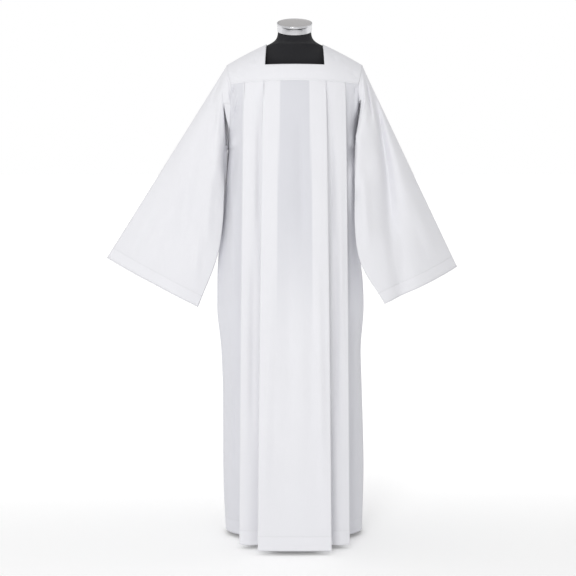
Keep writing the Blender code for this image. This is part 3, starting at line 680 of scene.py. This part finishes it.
def build_yoke(name, facing, share, neck_angle, look):
    band = np.linspace(0, neck_angle, 15)
    strap = np.linspace(neck_angle, 90, 31)[1:]
    inner = list(np.linspace(0, NECK_HALF_AT_SEAM, 31))
    outer = list(np.linspace(NECK_HALF_AT_SEAM, ARMHOLE_X, 31))[1:]
    half = inner + outer
    columns = [-x for x in half[:0:-1]] + half
    rows = []
    for angle in list(band) + list(strap):
        row = []
        for column in columns:
            x, depth, z = yoke_point(abs(column), angle)
            row.append((math.copysign(x, column), facing * max(depth * share, 0.0002), z))
        rows.append(row)
    points = np.array(rows)
    edge_hem = np.abs(points[..., 2] - (SEAM_Z - SEAM_DROP * (points[..., 0] / ARMHOLE_X) ** 2))
    quiet = smoothed(edge_hem, 0.0, 0.010) * smoothed(np.abs(points[..., 1]), 0.0, 0.02)
    quiet *= smoothed(ARMHOLE_X - np.abs(np.array(columns)), 0.0, 0.012)
    dents = fold_height(YOKE_FOLDS, points[..., 0] * -facing, points[..., 2]) * quiet
    points[..., 1] += facing * (dents + seam_shift(points[..., 0], points[..., 1], points[..., 2]))
    last_band = len(band) - 1

    def keep(i, j):
        return i < last_band or not (len(outer) <= j < len(columns) - 1 - len(outer))

    values = {"hem": edge_hem, "sheer_and_shade": edge_hem * 0}
    obj = surface(name, points, cloth_coordinates(points), values, keep=keep)
    face_out(obj, (0, 0, 1.25))
    give_wall(obj, YOKE_CLOTH)
    obj.data.materials.append(look)
    return obj, points


# Sleeves
def share_along(points):
    steps = np.linalg.norm(np.diff(np.array(points), axis=0), axis=1)
    way = np.concatenate(([0.0], np.cumsum(steps)))
    return way / way[-1]


def curve_at(controls, shares):
    fine = np.array([bezier(*controls, t) for t in np.linspace(0.0, 1.0, 65)])
    way = share_along(fine)
    return np.stack([np.interp(shares, way, fine[:, k]) for k in range(3)], axis=1)


def armhole_half(facing, neck_angle, right):
    """Fine points of one side of the armhole, from the shoulder tip down to the underarm."""
    points = []
    for angle in np.linspace(90, 0, 25):
        x, depth, z = yoke_point(ARMHOLE_X, angle)
        points.append((x, depth, z))
    for turn in np.linspace(0, 90, 31)[1:]:
        z = between(SEAM_Z, UNDERARM_Z, math.sin(math.radians(turn)))
        x, depth = armhole_below_seam(z, right)
        points.append((x, depth, z - seam_fall(x, z)))
    share = 1.0 if facing < 0 else BACK_SHARE
    points = np.array([(x, facing * depth * share, z) for x, depth, z in points])
    way = share_along(points)
    even = np.linspace(0, 1, LAYER_STEPS + 1)
    return np.stack([np.interp(even, way, points[:, k]) for k in range(3)], axis=1)


def sleeve_section(share, cuff_top, sections, trough, shares):
    s = Section(share, *smooth_through(sections, share))
    top = between(np.array((TIP_X, 0.0, TIP_Z)), np.array(cuff_top), share)
    low = np.array((s.x, s.y, s.z))
    along = (low - top) / 3 * s.reach
    edge = (low - top) / np.linalg.norm(low - top)
    thin = np.array((0.0, 1.0, 0.0)) - edge[1] * edge
    thin /= np.linalg.norm(thin)
    outward = np.array((1.0, 0.0, 0.0))
    front = curve_at((
        top, top + along - thin * s.front_top,
        low - along - thin * s.front_low + outward * s.front_push, low), shares)
    back = curve_at((
        low, low - along + thin * s.back_low + outward * s.back_push,
        top + along + thin * s.back_top, top), shares)
    middle = between(trough.start, trough.end, share)
    for point, down in zip(front, shares):
        point += thin * trough.depth * ease(share / 0.15) * math.exp(-(((down - middle) / trough.width) ** 2))
    return np.vstack((front, back[1:-1]))


def ring_share(k):
    t = k / RING_COUNT
    return 0.12 * t + 0.88 * t**3


def seam_at(z, right):
    """How far out and how deep the armhole seam lies at heights."""
    heights = np.linspace(UNDERARM_Z, SEAM_Z, 40)
    found = np.array([armhole_below_seam(h, right) for h in heights])
    heights, across = np.append(heights, TIP_Z), np.append(found[:, 0], TIP_X)
    return np.interp(z, heights, across), np.interp(z, heights, np.append(found[:, 1], 0.0))


def clear_of_seam(z):
    """How far beside the armhole seam the sleeve's front turns, from nothing at the underarm."""
    return LEAD_CLEAR * smoothed(z, UNDERARM_Z, UNDERARM_Z + 0.035)


def turn_forward(x, y, z, front, off_seam, leads, right):
    """Brings the sleeve's front forward along its turn and holds it back between the turn and the seam."""
    table = np.array(leads)
    edge, seam_depth = seam_at(z, right)
    beside = edge + clear_of_seam(z)
    turn = np.maximum(np.interp(z, table[:, 0], table[:, 1]), beside)
    wanted = []
    for lead in leads:
        near = front & (np.abs(z - lead.z) < 0.012) & (np.abs(x - turn) < 0.008)
        wanted.append(min(0.0, lead.y - y[near].min()) if near.any() else 0.0)
    push = np.interp(z, table[:, 0], wanted) * smoothed(z, table[0, 0] - 0.10, table[0, 0])
    push = push * (1 - smoothed(z, table[-1, 0], table[-1, 0] + 0.03))
    weight = smoothed(x, turn - LEAD_RISE, turn) * (1 - smoothed(x, turn + LEAD_FADE[0], turn + LEAD_FADE[1]))
    y = y + push * weight * smoothed(-y, 0.0, 0.03)

    start = np.interp(z, table[:, 0], table[:, 3])
    groove = np.interp(z, table[:, 0], table[:, 4]) * smoothed(x, start - 0.002, start + 0.002)
    rise = np.clip(0.6 * (turn - edge), 0.0005, LEAD_RISE)
    free = np.maximum(smoothed(x, turn - rise, turn), 1 - smoothed(z, UNDERARM_Z, UNDERARM_Z + 0.012))
    free = np.maximum(free, smoothed(z, table[-2, 0], table[-1, 0]))
    held = np.maximum(y, -between(seam_depth * (1 - groove) + 0.0005, 0.150, free))
    return np.where(front & (x < turn), between(y, held, off_seam), y)


def lean_in(x, y, z, front, leads, right):
    """Leans the turn in over the seam to where the front's edge shows."""
    table = np.array(leads)
    edge, seam_depth = seam_at(z, right)
    levels = np.arange(table[0, 0], table[-1, 0], LEAD_STEP)
    found = []
    for level in levels:
        turn = seam_at(level, right)[0] + clear_of_seam(level)
        if level <= UNDERARM_Z:
            deep = -0.50 * np.interp(level, table[:, 0], table[:, 2])
            here = front & (np.abs(z - level) < LEAD_STEP) & (-y > deep)
            turn = x[here].min()
        found.append(max(turn - np.interp(level, table[:, 0], table[:, 1]), 0.0))
    over = np.interp(z, levels, found) * smoothed(z, levels[0], levels[0] + 0.04)
    depth = -np.interp(z, table[:, 0], table[:, 2])
    reach = smoothed(-y, seam_depth + 0.004, np.maximum(0.92 * depth, seam_depth + 0.012))
    return x - over * reach * (1 - smoothed(x, edge + 0.02, edge + 0.09))


def close_to_body(x, y, z):
    """Squares the left sleeve's turn below the underarm and draws its wall behind that in to the body."""
    heights = np.linspace(0.80, UNDERARM_Z, 30)
    body_side = np.interp(z, heights, [side_width(h, False) for h in heights])
    table = np.array(LEFT_LEAD)
    depth = -np.interp(z, table[:, 0], table[:, 2])
    below = smoothed(UNDERARM_Z - z, 0.0, 0.016)
    short = np.maximum(np.interp(z, table[:, 0], table[:, 1]) - x, 0.0)
    x = x + short * smoothed(-y, 0.35 * depth, 0.60 * depth) * below * smoothed(z, 0.96, 1.04)
    excess = np.maximum(x - body_side - WALL_GAP - WALL_NARROWING * np.minimum(y, 0.0), 0.0)
    near = 1 - smoothed(x - body_side, *WALL_REACH)
    side = smoothed(y, -0.60 * depth, -0.25 * depth) * (1 - smoothed(y, 0.002, 0.034))
    return x - excess * near * below * side * smoothed(z, 0.87, 0.92)


def sleeve_points(right):
    """Rings of points round a sleeve, x counted outwards, the front layer first."""
    shares = np.linspace(0, 1, LAYER_STEPS + 1)
    front_edge = armhole_half(-1, FRONT_NECK_ANGLE, right)
    back_edge = armhole_half(1, BACK_NECK_ANGLE, right)
    ring = np.vstack((front_edge, back_edge[::-1][1:-1]))
    cuff_top = RIGHT_CUFF_TOP if right else LEFT_CUFF_TOP
    sections = RIGHT_SECTIONS if right else LEFT_SECTIONS
    trough = RIGHT_TROUGH if right else LEFT_TROUGH
    at_seam = sleeve_section(0.0, cuff_top, sections, trough, shares)
    rows = []
    for k in range(RING_COUNT + 1):
        share = ring_share(k)
        fade = 1 - ease(share / 0.18)
        rows.append(sleeve_section(share, cuff_top, sections, trough, shares) + (ring - at_seam) * fade)
    return np.array(rows)


def build_sleeve(name, right, look):
    sign = 1 if right else -1
    points = sleeve_points(right)
    columns = points.shape[1]
    shares = np.linspace(0, 1, LAYER_STEPS + 1)
    down = np.concatenate((shares, shares[::-1][1:-1]))
    front = (np.arange(columns) <= LAYER_STEPS)[None, :]
    opposite = (columns - np.arange(columns)) % columns
    gap = np.abs(points[:, opposite, 1] - points[..., 1])
    inside = smoothed(np.minimum(down, 1 - down), 0.0, 0.05)[None, :]
    share_of_ring = np.array([ring_share(k) for k in range(RING_COUNT + 1)])
    growing = smoothed(share_of_ring, 0.0, 0.02)[:, None]
    x, y, z = points[..., 0].copy(), points[..., 1].copy(), points[..., 2].copy()

    own = fold_height(RIGHT_FRONT_FOLDS if right else LEFT_FRONT_FOLDS, x, z)
    behind = fold_height(SLEEVE_BACK_FOLDS, x, z)
    own = np.where(front, own, behind) * inside * growing
    limit = np.maximum(0.75 * gap * growing, 0.0001)
    own = limit * np.tanh(own / limit)
    y = y + np.where(front, -own, own)

    steps = np.linalg.norm(np.diff(points, axis=0), axis=2)
    run = np.zeros(x.shape)
    run[1:] = np.cumsum(steps, axis=0)
    leads = RIGHT_LEAD if right else LEFT_LEAD
    whole_front = np.broadcast_to(front, x.shape)
    y = turn_forward(x, y, z, whole_front, smoothed(run, 0.0, 0.0015), leads, right)
    x = lean_in(x, y, z, whole_front, leads, right)
    if not right:
        x = close_to_body(x, y, z)

    high = smoothed(z, 1.29, 1.32)
    by_seam = seam_shift(sign * x, y, z) * (1 - smoothed(run, 0.002 * high, between(0.003, 0.012, high)))
    points[..., 0] = x
    points[..., 1] = y + np.where(front, -by_seam, by_seam)

    points[..., 0] *= sign
    from_cuff = np.zeros(points.shape[:2])
    steps = np.linalg.norm(np.diff(points, axis=0), axis=2)
    from_cuff[:-1] = np.cumsum(steps[::-1], axis=0)[::-1]
    obj = surface(name, points, cloth_coordinates(points),
                  {"hem": from_cuff, "sheer_and_shade": from_cuff * 0}, closed=True)
    face_out(obj, tuple(points.mean(axis=(0, 1))))
    give_wall(obj, CLOTH, from_cuff < CUFF_HEM)
    obj.data.materials.append(look)
    return obj, points, from_cuff


# Stitches
def stitch_run(vertices, faces, line, normals):
    """Adds short thread stitches along a line of points that lies on the cloth."""
    way = np.concatenate(([0.0], np.cumsum(np.linalg.norm(np.diff(line, axis=0), axis=1))))
    for s in np.arange(STITCH_PITCH / 2, way[-1] - STITCH_PITCH / 2, STITCH_PITCH):
        ends = [np.array([np.interp(s + d, way, line[:, k]) for k in range(3)])
                for d in (-STITCH_LENGTH / 2, STITCH_LENGTH / 2)]
        normal = np.array([np.interp(s, way, normals[:, k]) for k in range(3)])
        normal /= np.linalg.norm(normal)
        run = ends[1] - ends[0]
        run /= np.linalg.norm(run)
        side = np.cross(run, normal)
        middle = (ends[0] + ends[1]) / 2
        base = len(vertices)
        vertices += [ends[0], middle + side * STITCH_RADIUS, middle + normal * STITCH_RADIUS,
                     middle - side * STITCH_RADIUS, middle - normal * STITCH_RADIUS, ends[1]]
        for a, b in ((1, 2), (2, 3), (3, 4), (4, 1)):
            faces.append((base, base + b, base + a))
            faces.append((base + 5, base + a, base + b))


def grid_normals(points, closed=False):
    """Unit normals of a grid of points, and which way they turn is set by the caller."""
    down = np.gradient(points, axis=0)
    if closed:
        across = np.roll(points, -1, axis=1) - np.roll(points, 1, axis=1)
    else:
        across = np.gradient(points, axis=1)
    normals = np.cross(across, down)
    return normals / np.maximum(np.linalg.norm(normals, axis=2, keepdims=True), 1e-9)


def line_on_grid(points, values, level, closed=False, offset=0.0):
    """Where each column of a grid passes a level of a value, with the normals there."""
    normals = grid_normals(points, closed)
    line, outs = [], []
    for j in range(points.shape[1]):
        v = values[:, j]
        order = np.argsort(v)
        line.append([np.interp(level, v[order], points[order, j, k]) for k in range(3)])
        outs.append([np.interp(level, v[order], normals[order, j, k]) for k in range(3)])
    line, outs = np.array(line), np.array(outs)
    if closed:
        line, outs = np.vstack((line, line[:1])), np.vstack((outs, outs[:1]))
    return line + outs * offset, outs


def rise_from_edge(points):
    """How far each point of a grid lies up from its first row."""
    rise = np.zeros(points.shape[:2])
    rise[1:] = np.cumsum(np.linalg.norm(np.diff(points, axis=0), axis=2), axis=0)
    return rise


def thread_piece(name, vertices, faces, look):
    mesh = bpy.data.meshes.new(name)
    mesh.from_pydata([tuple(v) for v in vertices], [], faces)
    mesh.shade_smooth()
    mesh.materials.append(look)
    return put(name, mesh)


# The dress form and its cap
def fill_neck_base(mesh):
    """Brings the chest forward under the neck's base, so that the neck rises from it without a ledge."""
    low, high = NECK_BASE_Z
    for vertex in mesh.vertices:
        x, y, z = vertex.co
        if abs(x) < NECK_BASE_RADIUS and y < NECK_CENTRE_Y and low < z < high:
            reach = math.sqrt(NECK_BASE_RADIUS ** 2 - x * x) + NECK_BASE_SLOPE * (high - z)
            vertex.co.y = min(y, NECK_CENTRE_Y - reach)


def smooth_copy(name, solid, look):
    """A rounder surface on a solid's own form."""
    work = bmesh.new()
    work.from_mesh(solid.data)
    bmesh.ops.remove_doubles(work, verts=work.verts, dist=0.00005)
    bmesh.ops.join_triangles(
        work, faces=work.faces, angle_face_threshold=math.radians(40), angle_shape_threshold=math.radians(60))
    mesh = bpy.data.meshes.new(name)
    work.to_mesh(mesh)
    work.free()
    mesh.transform(solid.matrix_world)
    fill_neck_base(mesh)
    mesh.shade_smooth()
    obj = put(name, mesh)
    rounder = obj.modifiers.new("Rounder", "SUBSURF")
    rounder.levels = 2
    rounder.render_levels = 2
    obj.data.materials.clear()
    obj.data.materials.append(look)
    return obj


def turned(name, profile, looks, top_faces):
    """A turned piece from (radius, height) points, top to bottom, its first faces in the first material."""
    angles = np.linspace(0, 2 * math.pi, CAP_SIDES, endpoint=False)
    vertices = [(r * math.cos(a), r * math.sin(a), z) for r, z in profile for a in angles]
    faces = []
    for i in range(len(profile) - 1):
        for k in range(CAP_SIDES):
            j = (k + 1) % CAP_SIDES
            row, below = i * CAP_SIDES, (i + 1) * CAP_SIDES
            faces.append((row + k, below + k, below + j, row + j))
    faces.append(tuple(range(CAP_SIDES)))
    faces.append(tuple(reversed(range(len(vertices) - CAP_SIDES, len(vertices)))))
    mesh = bpy.data.meshes.new(name)
    mesh.from_pydata(vertices, [], faces)
    mesh.shade_smooth()
    mesh.set_sharp_from_angle(angle=math.radians(35))
    for look in looks:
        mesh.materials.append(look)
    for i, face in enumerate(mesh.polygons):
        face.material_index = 0 if i < top_faces * CAP_SIDES or i == len(faces) - 2 else 1
    obj = put(name, mesh)
    obj.location = (0.0, NECK_CENTRE_Y, NECK_TOP_Z + CAP_GAP)
    obj.rotation_euler = (math.radians(NECK_LEAN), 0.0, 0.0)
    return obj


# Materials
def new_material(name):
    made = bpy.data.materials.new(name)
    made.use_nodes = True
    return made, made.node_tree.nodes, made.node_tree.links


def maths(nodes, links, operation, a, b=None, clamp=False):
    node = nodes.new("ShaderNodeMath")
    node.operation = operation
    node.use_clamp = clamp
    for socket, value in zip(node.inputs, (a, b)):
        if value is None:
            continue
        if isinstance(value, (int, float)):
            socket.default_value = value
        else:
            links.new(value, socket)
    return node.outputs[0]


def noise(nodes, links, vector, scale, detail=2.0, stretch=None):
    if stretch:
        mapping = nodes.new("ShaderNodeMapping")
        mapping.inputs["Scale"].default_value = stretch
        links.new(vector, mapping.inputs["Vector"])
        vector = mapping.outputs[0]
    texture = nodes.new("ShaderNodeTexNoise")
    texture.inputs["Scale"].default_value = scale
    texture.inputs["Detail"].default_value = detail
    links.new(vector, texture.inputs["Vector"])
    return texture.outputs["Fac"]


def cloth_material(name, colour, hem_width, seam_shade=0.94):
    """White plain-woven polyester: weave, faint slubs, soft rumples, a hem line and a thinner single layer,
    whose darker tint also paints shade on the flanks.
    """
    made, nodes, links = new_material(name)
    do = partial(maths, nodes, links)
    shader = nodes["Principled BSDF"]
    shader.inputs["Roughness"].default_value = 0.82
    shader.inputs["Specular IOR Level"].default_value = 0.25
    shader.inputs["Sheen Weight"].default_value = 0.12
    shader.inputs["Sheen Roughness"].default_value = 0.5
    place = nodes.new("ShaderNodeTexCoord")
    hem = nodes.new("ShaderNodeAttribute")
    hem.attribute_name = "hem"
    sheer_and_shade = nodes.new("ShaderNodeAttribute")
    sheer_and_shade.attribute_name = "sheer_and_shade"
    split = nodes.new("ShaderNodeSeparateXYZ")
    links.new(place.outputs["UV"], split.inputs[0])
    turns = 2 * math.pi / WEAVE_PITCH
    warp_thread, weft_thread = (
        do("SINE", do("MULTIPLY", split.outputs[k], turns)) for k in (0, 1))
    weave = do("MULTIPLY", warp_thread, weft_thread)
    slubs = noise(nodes, links, place.outputs["UV"], 260.0, 2.0, (1.0, 0.10, 1.0))
    tone = noise(nodes, links, place.outputs["Object"], 5.0, 3.0)
    rumple = noise(nodes, links, place.outputs["Object"], 22.0, 2.0, (1.0, 1.0, 0.35))

    off = do("ABSOLUTE", do("SUBTRACT", hem.outputs["Fac"], hem_width))
    line = do("SUBTRACT", 1.0, do("DIVIDE", off, STITCH_LINE), clamp=True)
    inside = do("LESS_THAN", hem.outputs["Fac"], hem_width)

    # The single layer's darker tint, which on the flanks is painted shade as well
    thin = nodes.new("ShaderNodeMix")
    thin.data_type = "RGBA"
    thin.inputs["A"].default_value = (*colour, 1.0)
    thin.inputs["B"].default_value = tuple(c * s for c, s in zip(colour, SINGLE_TINT_AND_SHADE)) + (1.0,)
    links.new(do("MULTIPLY", sheer_and_shade.outputs["Fac"], 0.85), thin.inputs["Factor"])
    shade = do("MULTIPLY_ADD", tone, 0.05)
    nodes[-1].inputs[2].default_value = 0.955
    shade = do("SUBTRACT", shade, do("MULTIPLY", line, 1 - seam_shade))
    shade = do("ADD", shade, do("MULTIPLY", inside, 0.012))
    shade = do("ADD", shade, do("MULTIPLY", slubs, 0.02))
    tinted = nodes.new("ShaderNodeVectorMath")
    tinted.operation = "SCALE"
    links.new(thin.outputs["Result"], tinted.inputs[0])
    links.new(shade, tinted.inputs["Scale"])
    links.new(tinted.outputs[0], shader.inputs["Base Color"])

    height = do("MULTIPLY", rumple, 0.0020)
    height = do("ADD", height, do("MULTIPLY", weave, 0.00004))
    height = do("ADD", height, do("MULTIPLY", slubs, 0.00010))
    height = do("SUBTRACT", height, do("MULTIPLY", line, 0.0006))
    bump = nodes.new("ShaderNodeBump")
    bump.inputs["Strength"].default_value = 0.6
    bump.inputs["Distance"].default_value = 1.0
    links.new(height, bump.inputs["Height"])
    links.new(bump.outputs[0], shader.inputs["Normal"])
    return made


def jersey_material(name):
    made, nodes, links = new_material(name)
    shader = nodes["Principled BSDF"]
    shader.inputs["Roughness"].default_value = 0.92
    shader.inputs["Specular IOR Level"].default_value = 0.2
    shader.inputs["Sheen Weight"].default_value = 0.05
    place = nodes.new("ShaderNodeTexCoord")
    fleck = noise(nodes, links, place.outputs["Object"], 900.0, 1.0, (1.0, 1.0, 0.5))
    ramp = nodes.new("ShaderNodeValToRGB")
    ramp.color_ramp.elements[0].color = (0.010, 0.010, 0.012, 1)
    ramp.color_ramp.elements[1].color = (0.028, 0.028, 0.031, 1)
    links.new(fleck, ramp.inputs[0])
    links.new(ramp.outputs[0], shader.inputs["Base Color"])
    bump = nodes.new("ShaderNodeBump")
    bump.inputs["Strength"].default_value = 0.4
    bump.inputs["Distance"].default_value = 0.0004
    links.new(fleck, bump.inputs["Height"])
    links.new(bump.outputs[0], shader.inputs["Normal"])
    return made


def metal_material(name, dark, light, roughness, metallic, scale, stretch):
    made, nodes, links = new_material(name)
    shader = nodes["Principled BSDF"]
    shader.inputs["Metallic"].default_value = metallic
    place = nodes.new("ShaderNodeTexCoord")
    grain = noise(nodes, links, place.outputs["Object"], scale, 3.0, stretch)
    ramp = nodes.new("ShaderNodeValToRGB")
    ramp.color_ramp.elements[0].color = (*dark, 1)
    ramp.color_ramp.elements[1].color = (*light, 1)
    links.new(grain, ramp.inputs[0])
    links.new(ramp.outputs[0], shader.inputs["Base Color"])
    rough = maths(nodes, links, "MULTIPLY_ADD", grain, 0.12)
    nodes[-1].inputs[2].default_value = roughness - 0.06
    links.new(rough, shader.inputs["Roughness"])
    return made


def plain_material(name, colour, roughness):
    made, nodes, links = new_material(name)
    nodes["Principled BSDF"].inputs["Base Color"].default_value = (*colour, 1)
    nodes["Principled BSDF"].inputs["Roughness"].default_value = roughness
    return made


WHITE = (0.80, 0.80, 0.83)
body_cloth = cloth_material("alb_body_cloth", WHITE, BODY_HEM)
yoke_look = cloth_material("alb_yoke_cloth", WHITE, 0.004, 0.97)
sleeve_cloth = cloth_material("alb_sleeve_cloth", WHITE, CUFF_HEM)
thread = metal_material("alb_thread", (0.82, 0.82, 0.84), (0.88, 0.88, 0.90), 0.55, 0.0, 900.0, (1, 1, 1))

front_panel, front_points, front_hem = build_panel("front_panel_cloth", -1, 1.0, body_cloth)
back_panel, back_points, back_hem = build_panel("back_panel_cloth", 1, BACK_SHARE, body_cloth)
front_yoke, front_yoke_points = build_yoke("front_yoke_cloth", -1, 1.0, FRONT_NECK_ANGLE, yoke_look)
back_yoke, back_yoke_points = build_yoke("back_yoke_cloth", 1, BACK_SHARE, BACK_NECK_ANGLE, yoke_look)
left_sleeve, left_points, left_cuff = build_sleeve("left_sleeve_cloth", False, sleeve_cloth)
right_sleeve, right_points, right_cuff = build_sleeve("right_sleeve_cloth", True, sleeve_cloth)

for piece, node, cut in (
    (front_panel, "front_panel", FRONT_PANEL_CUT), (back_panel, "back_panel", BACK_PANEL_CUT),
    (front_yoke, "front_yoke", FRONT_YOKE_CUT), (back_yoke, "back_yoke", BACK_YOKE_CUT),
    (left_sleeve, "left_sleeve", SLEEVE_CUT), (right_sleeve, "right_sleeve", SLEEVE_CUT),
):
    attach(piece, "root")
    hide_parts(node)

for name, points, values, level, closed, side in (
    ("front_hem_thread", front_points, front_hem, BODY_HEM, False, 1),
    ("back_hem_thread", back_points, back_hem, BODY_HEM, False, -1),
    ("left_cuff_thread", left_points, left_cuff, CUFF_HEM, True, -1),
    ("right_cuff_thread", right_points, right_cuff, CUFF_HEM, True, 1),
    ("front_yoke_thread", front_yoke_points, rise_from_edge(front_yoke_points), YOKE_STITCH, False, 1),
    ("back_yoke_thread", back_yoke_points, rise_from_edge(back_yoke_points), YOKE_STITCH, False, -1),
):
    wall = YOKE_CLOTH / 2 if "yoke" in name else CLOTH
    line, outs = line_on_grid(points, values, level, closed, side * wall)
    vertices, faces = [], []
    stitch_run(vertices, faces, line, outs * side)
    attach(thread_piece(name, vertices, faces, thread), "root")

jersey = jersey_material("form_jersey_look")
cap_top = metal_material(
    "cap_top_look", (0.50, 0.49, 0.49), (0.58, 0.565, 0.565), 0.42, 0.6, 60.0, (1, 1, 0.1))
cap_side = metal_material(
    "cap_side_look", (0.50, 0.50, 0.52), (0.74, 0.74, 0.76), 0.20, 1.0, 40.0, (1, 1, 0.1))
torso = smooth_copy("form_torso_jersey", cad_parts["form_torso"], jersey)
inner = CAP_RADIUS - CAP_LIP
step = CAP_RADIUS - CAP_LIP / 2
cap = turned("neck_cap_polished", (
    (0.0100, CAP_HEIGHT - CAP_LIP), (inner - CAP_LIP - 0.002, CAP_HEIGHT - CAP_LIP),
    (inner - CAP_LIP, CAP_HEIGHT - CAP_LIP + 0.0003), (inner - 0.0004, CAP_HEIGHT - 0.0003),
    (inner + 0.0002, CAP_HEIGHT), (step, CAP_HEIGHT), (CAP_RADIUS - 0.0003, CAP_HEIGHT - 0.0004),
    (CAP_RADIUS, CAP_HEIGHT - CAP_LIP / 2), (CAP_RADIUS, CAP_HEIGHT - CAP_EDGE + 0.0005),
    (CAP_RADIUS - 0.0005, CAP_HEIGHT - CAP_EDGE), (step, CAP_HEIGHT - 1.2 * CAP_EDGE), (step, 0.0006),
    (step - 0.0006, 0.0)), (cap_top, cap_side), 3)
for piece, node, slot in ((torso, "form_torso", "form_jersey"), (cap, "neck_cap", "cap_chrome")):
    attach(piece, "root")
    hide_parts(node)

coat = metal_material("stand_coat_look", (0.03, 0.03, 0.032), (0.05, 0.05, 0.054), 0.45, 0.0, 60.0, (1, 1, 1))
for node in ("stand_pole", "stand_foot"):
    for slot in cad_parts[node].material_slots:
        slot.material = coat

# Floor, light and camera
floor_mesh = bpy.data.meshes.new("floor")
corners = [(x * FLOOR_HALF, y * FLOOR_HALF, 0) for x, y in ((-1, -1), (1, -1), (1, 1), (-1, 1))]
floor_mesh.from_pydata(corners, [], [(0, 1, 2, 3)])
floor = put("floor", floor_mesh)
floor_look = plain_material("floor_look", (0.95, 0.95, 0.95), 0.9)
floor_look.node_tree.nodes["Principled BSDF"].inputs["Emission Color"].default_value = (1.0, 1.0, 1.0, 1.0)
floor_nodes, floor_links = floor_look.node_tree.nodes, floor_look.node_tree.links
on_floor = floor_nodes.new("ShaderNodeTexCoord")
away = floor_nodes.new("ShaderNodeSeparateXYZ")
floor_links.new(on_floor.outputs["Object"], away.inputs[0])
glow = floor_nodes.new("ShaderNodeMapRange")
glow.interpolation_type = "SMOOTHSTEP"
glow.inputs["From Min"].default_value, glow.inputs["From Max"].default_value = GLOW_REACH
glow.inputs["To Min"].default_value, glow.inputs["To Max"].default_value = FLOOR_GLOW
floor_links.new(away.outputs["Y"], glow.inputs["Value"])
floor_links.new(glow.outputs[0], floor_nodes["Principled BSDF"].inputs["Emission Strength"])
floor.data.materials.append(floor_look)

world = bpy.data.worlds.new("studio") if scene.world is None else scene.world
scene.world = world
world.use_nodes = True
sky, sky_links = world.node_tree.nodes, world.node_tree.links
do = partial(maths, sky, sky_links)
aim = sky.new("ShaderNodeTexCoord")
parts = sky.new("ShaderNodeSeparateXYZ")
sky_links.new(aim.outputs["Generated"], parts.inputs[0])
horizon = sky.new("ShaderNodeMapRange")
horizon.interpolation_type = "SMOOTHSTEP"
horizon.inputs["From Min"].default_value, horizon.inputs["From Max"].default_value = HORIZON
sky_links.new(parts.outputs["Z"], horizon.inputs["Value"])
sideways = do("MULTIPLY_ADD", parts.outputs["X"], -SKY_LEAN)
sky[-1].inputs[2].default_value = SKY_SIDE
upward = do("MAXIMUM", parts.outputs["Z"], 0.0)
overhead = do("MULTIPLY", do("MULTIPLY", upward, upward), SKY_TOP)
around = do("ADD", sideways, overhead)
lift = do("SUBTRACT", 1.0, around)
level = do("ADD", around, do("MULTIPLY", lift, horizon.outputs[0]))
sky["Background"].inputs["Color"].default_value = (1.0, 1.0, 1.0, 1.0)
sky_links.new(level, sky["Background"].inputs["Strength"])


def area_light(name, place, aim_at, size, power):
    data = bpy.data.lights.new(name, "AREA")
    data.shape = "RECTANGLE"
    data.size, data.size_y = size
    data.energy = power
    obj = put(name, data)
    obj.location = place
    obj.rotation_euler = (Vector(aim_at) - Vector(place)).to_track_quat("-Z", "Y").to_euler()


area_light("key", KEY_PLACE, KEY_AIM, KEY_SIZE, KEY_POWER)

camera_data = bpy.data.cameras.new("camera")
camera_data.lens = LENS
camera_data.sensor_width = SENSOR_WIDTH
camera = put("camera", camera_data)
camera.location = CAMERA_PLACE
camera.rotation_euler = (math.radians(90 - CAMERA_TILT), 0, 0)
scene.camera = camera
scene.view_settings.view_transform = "Standard"
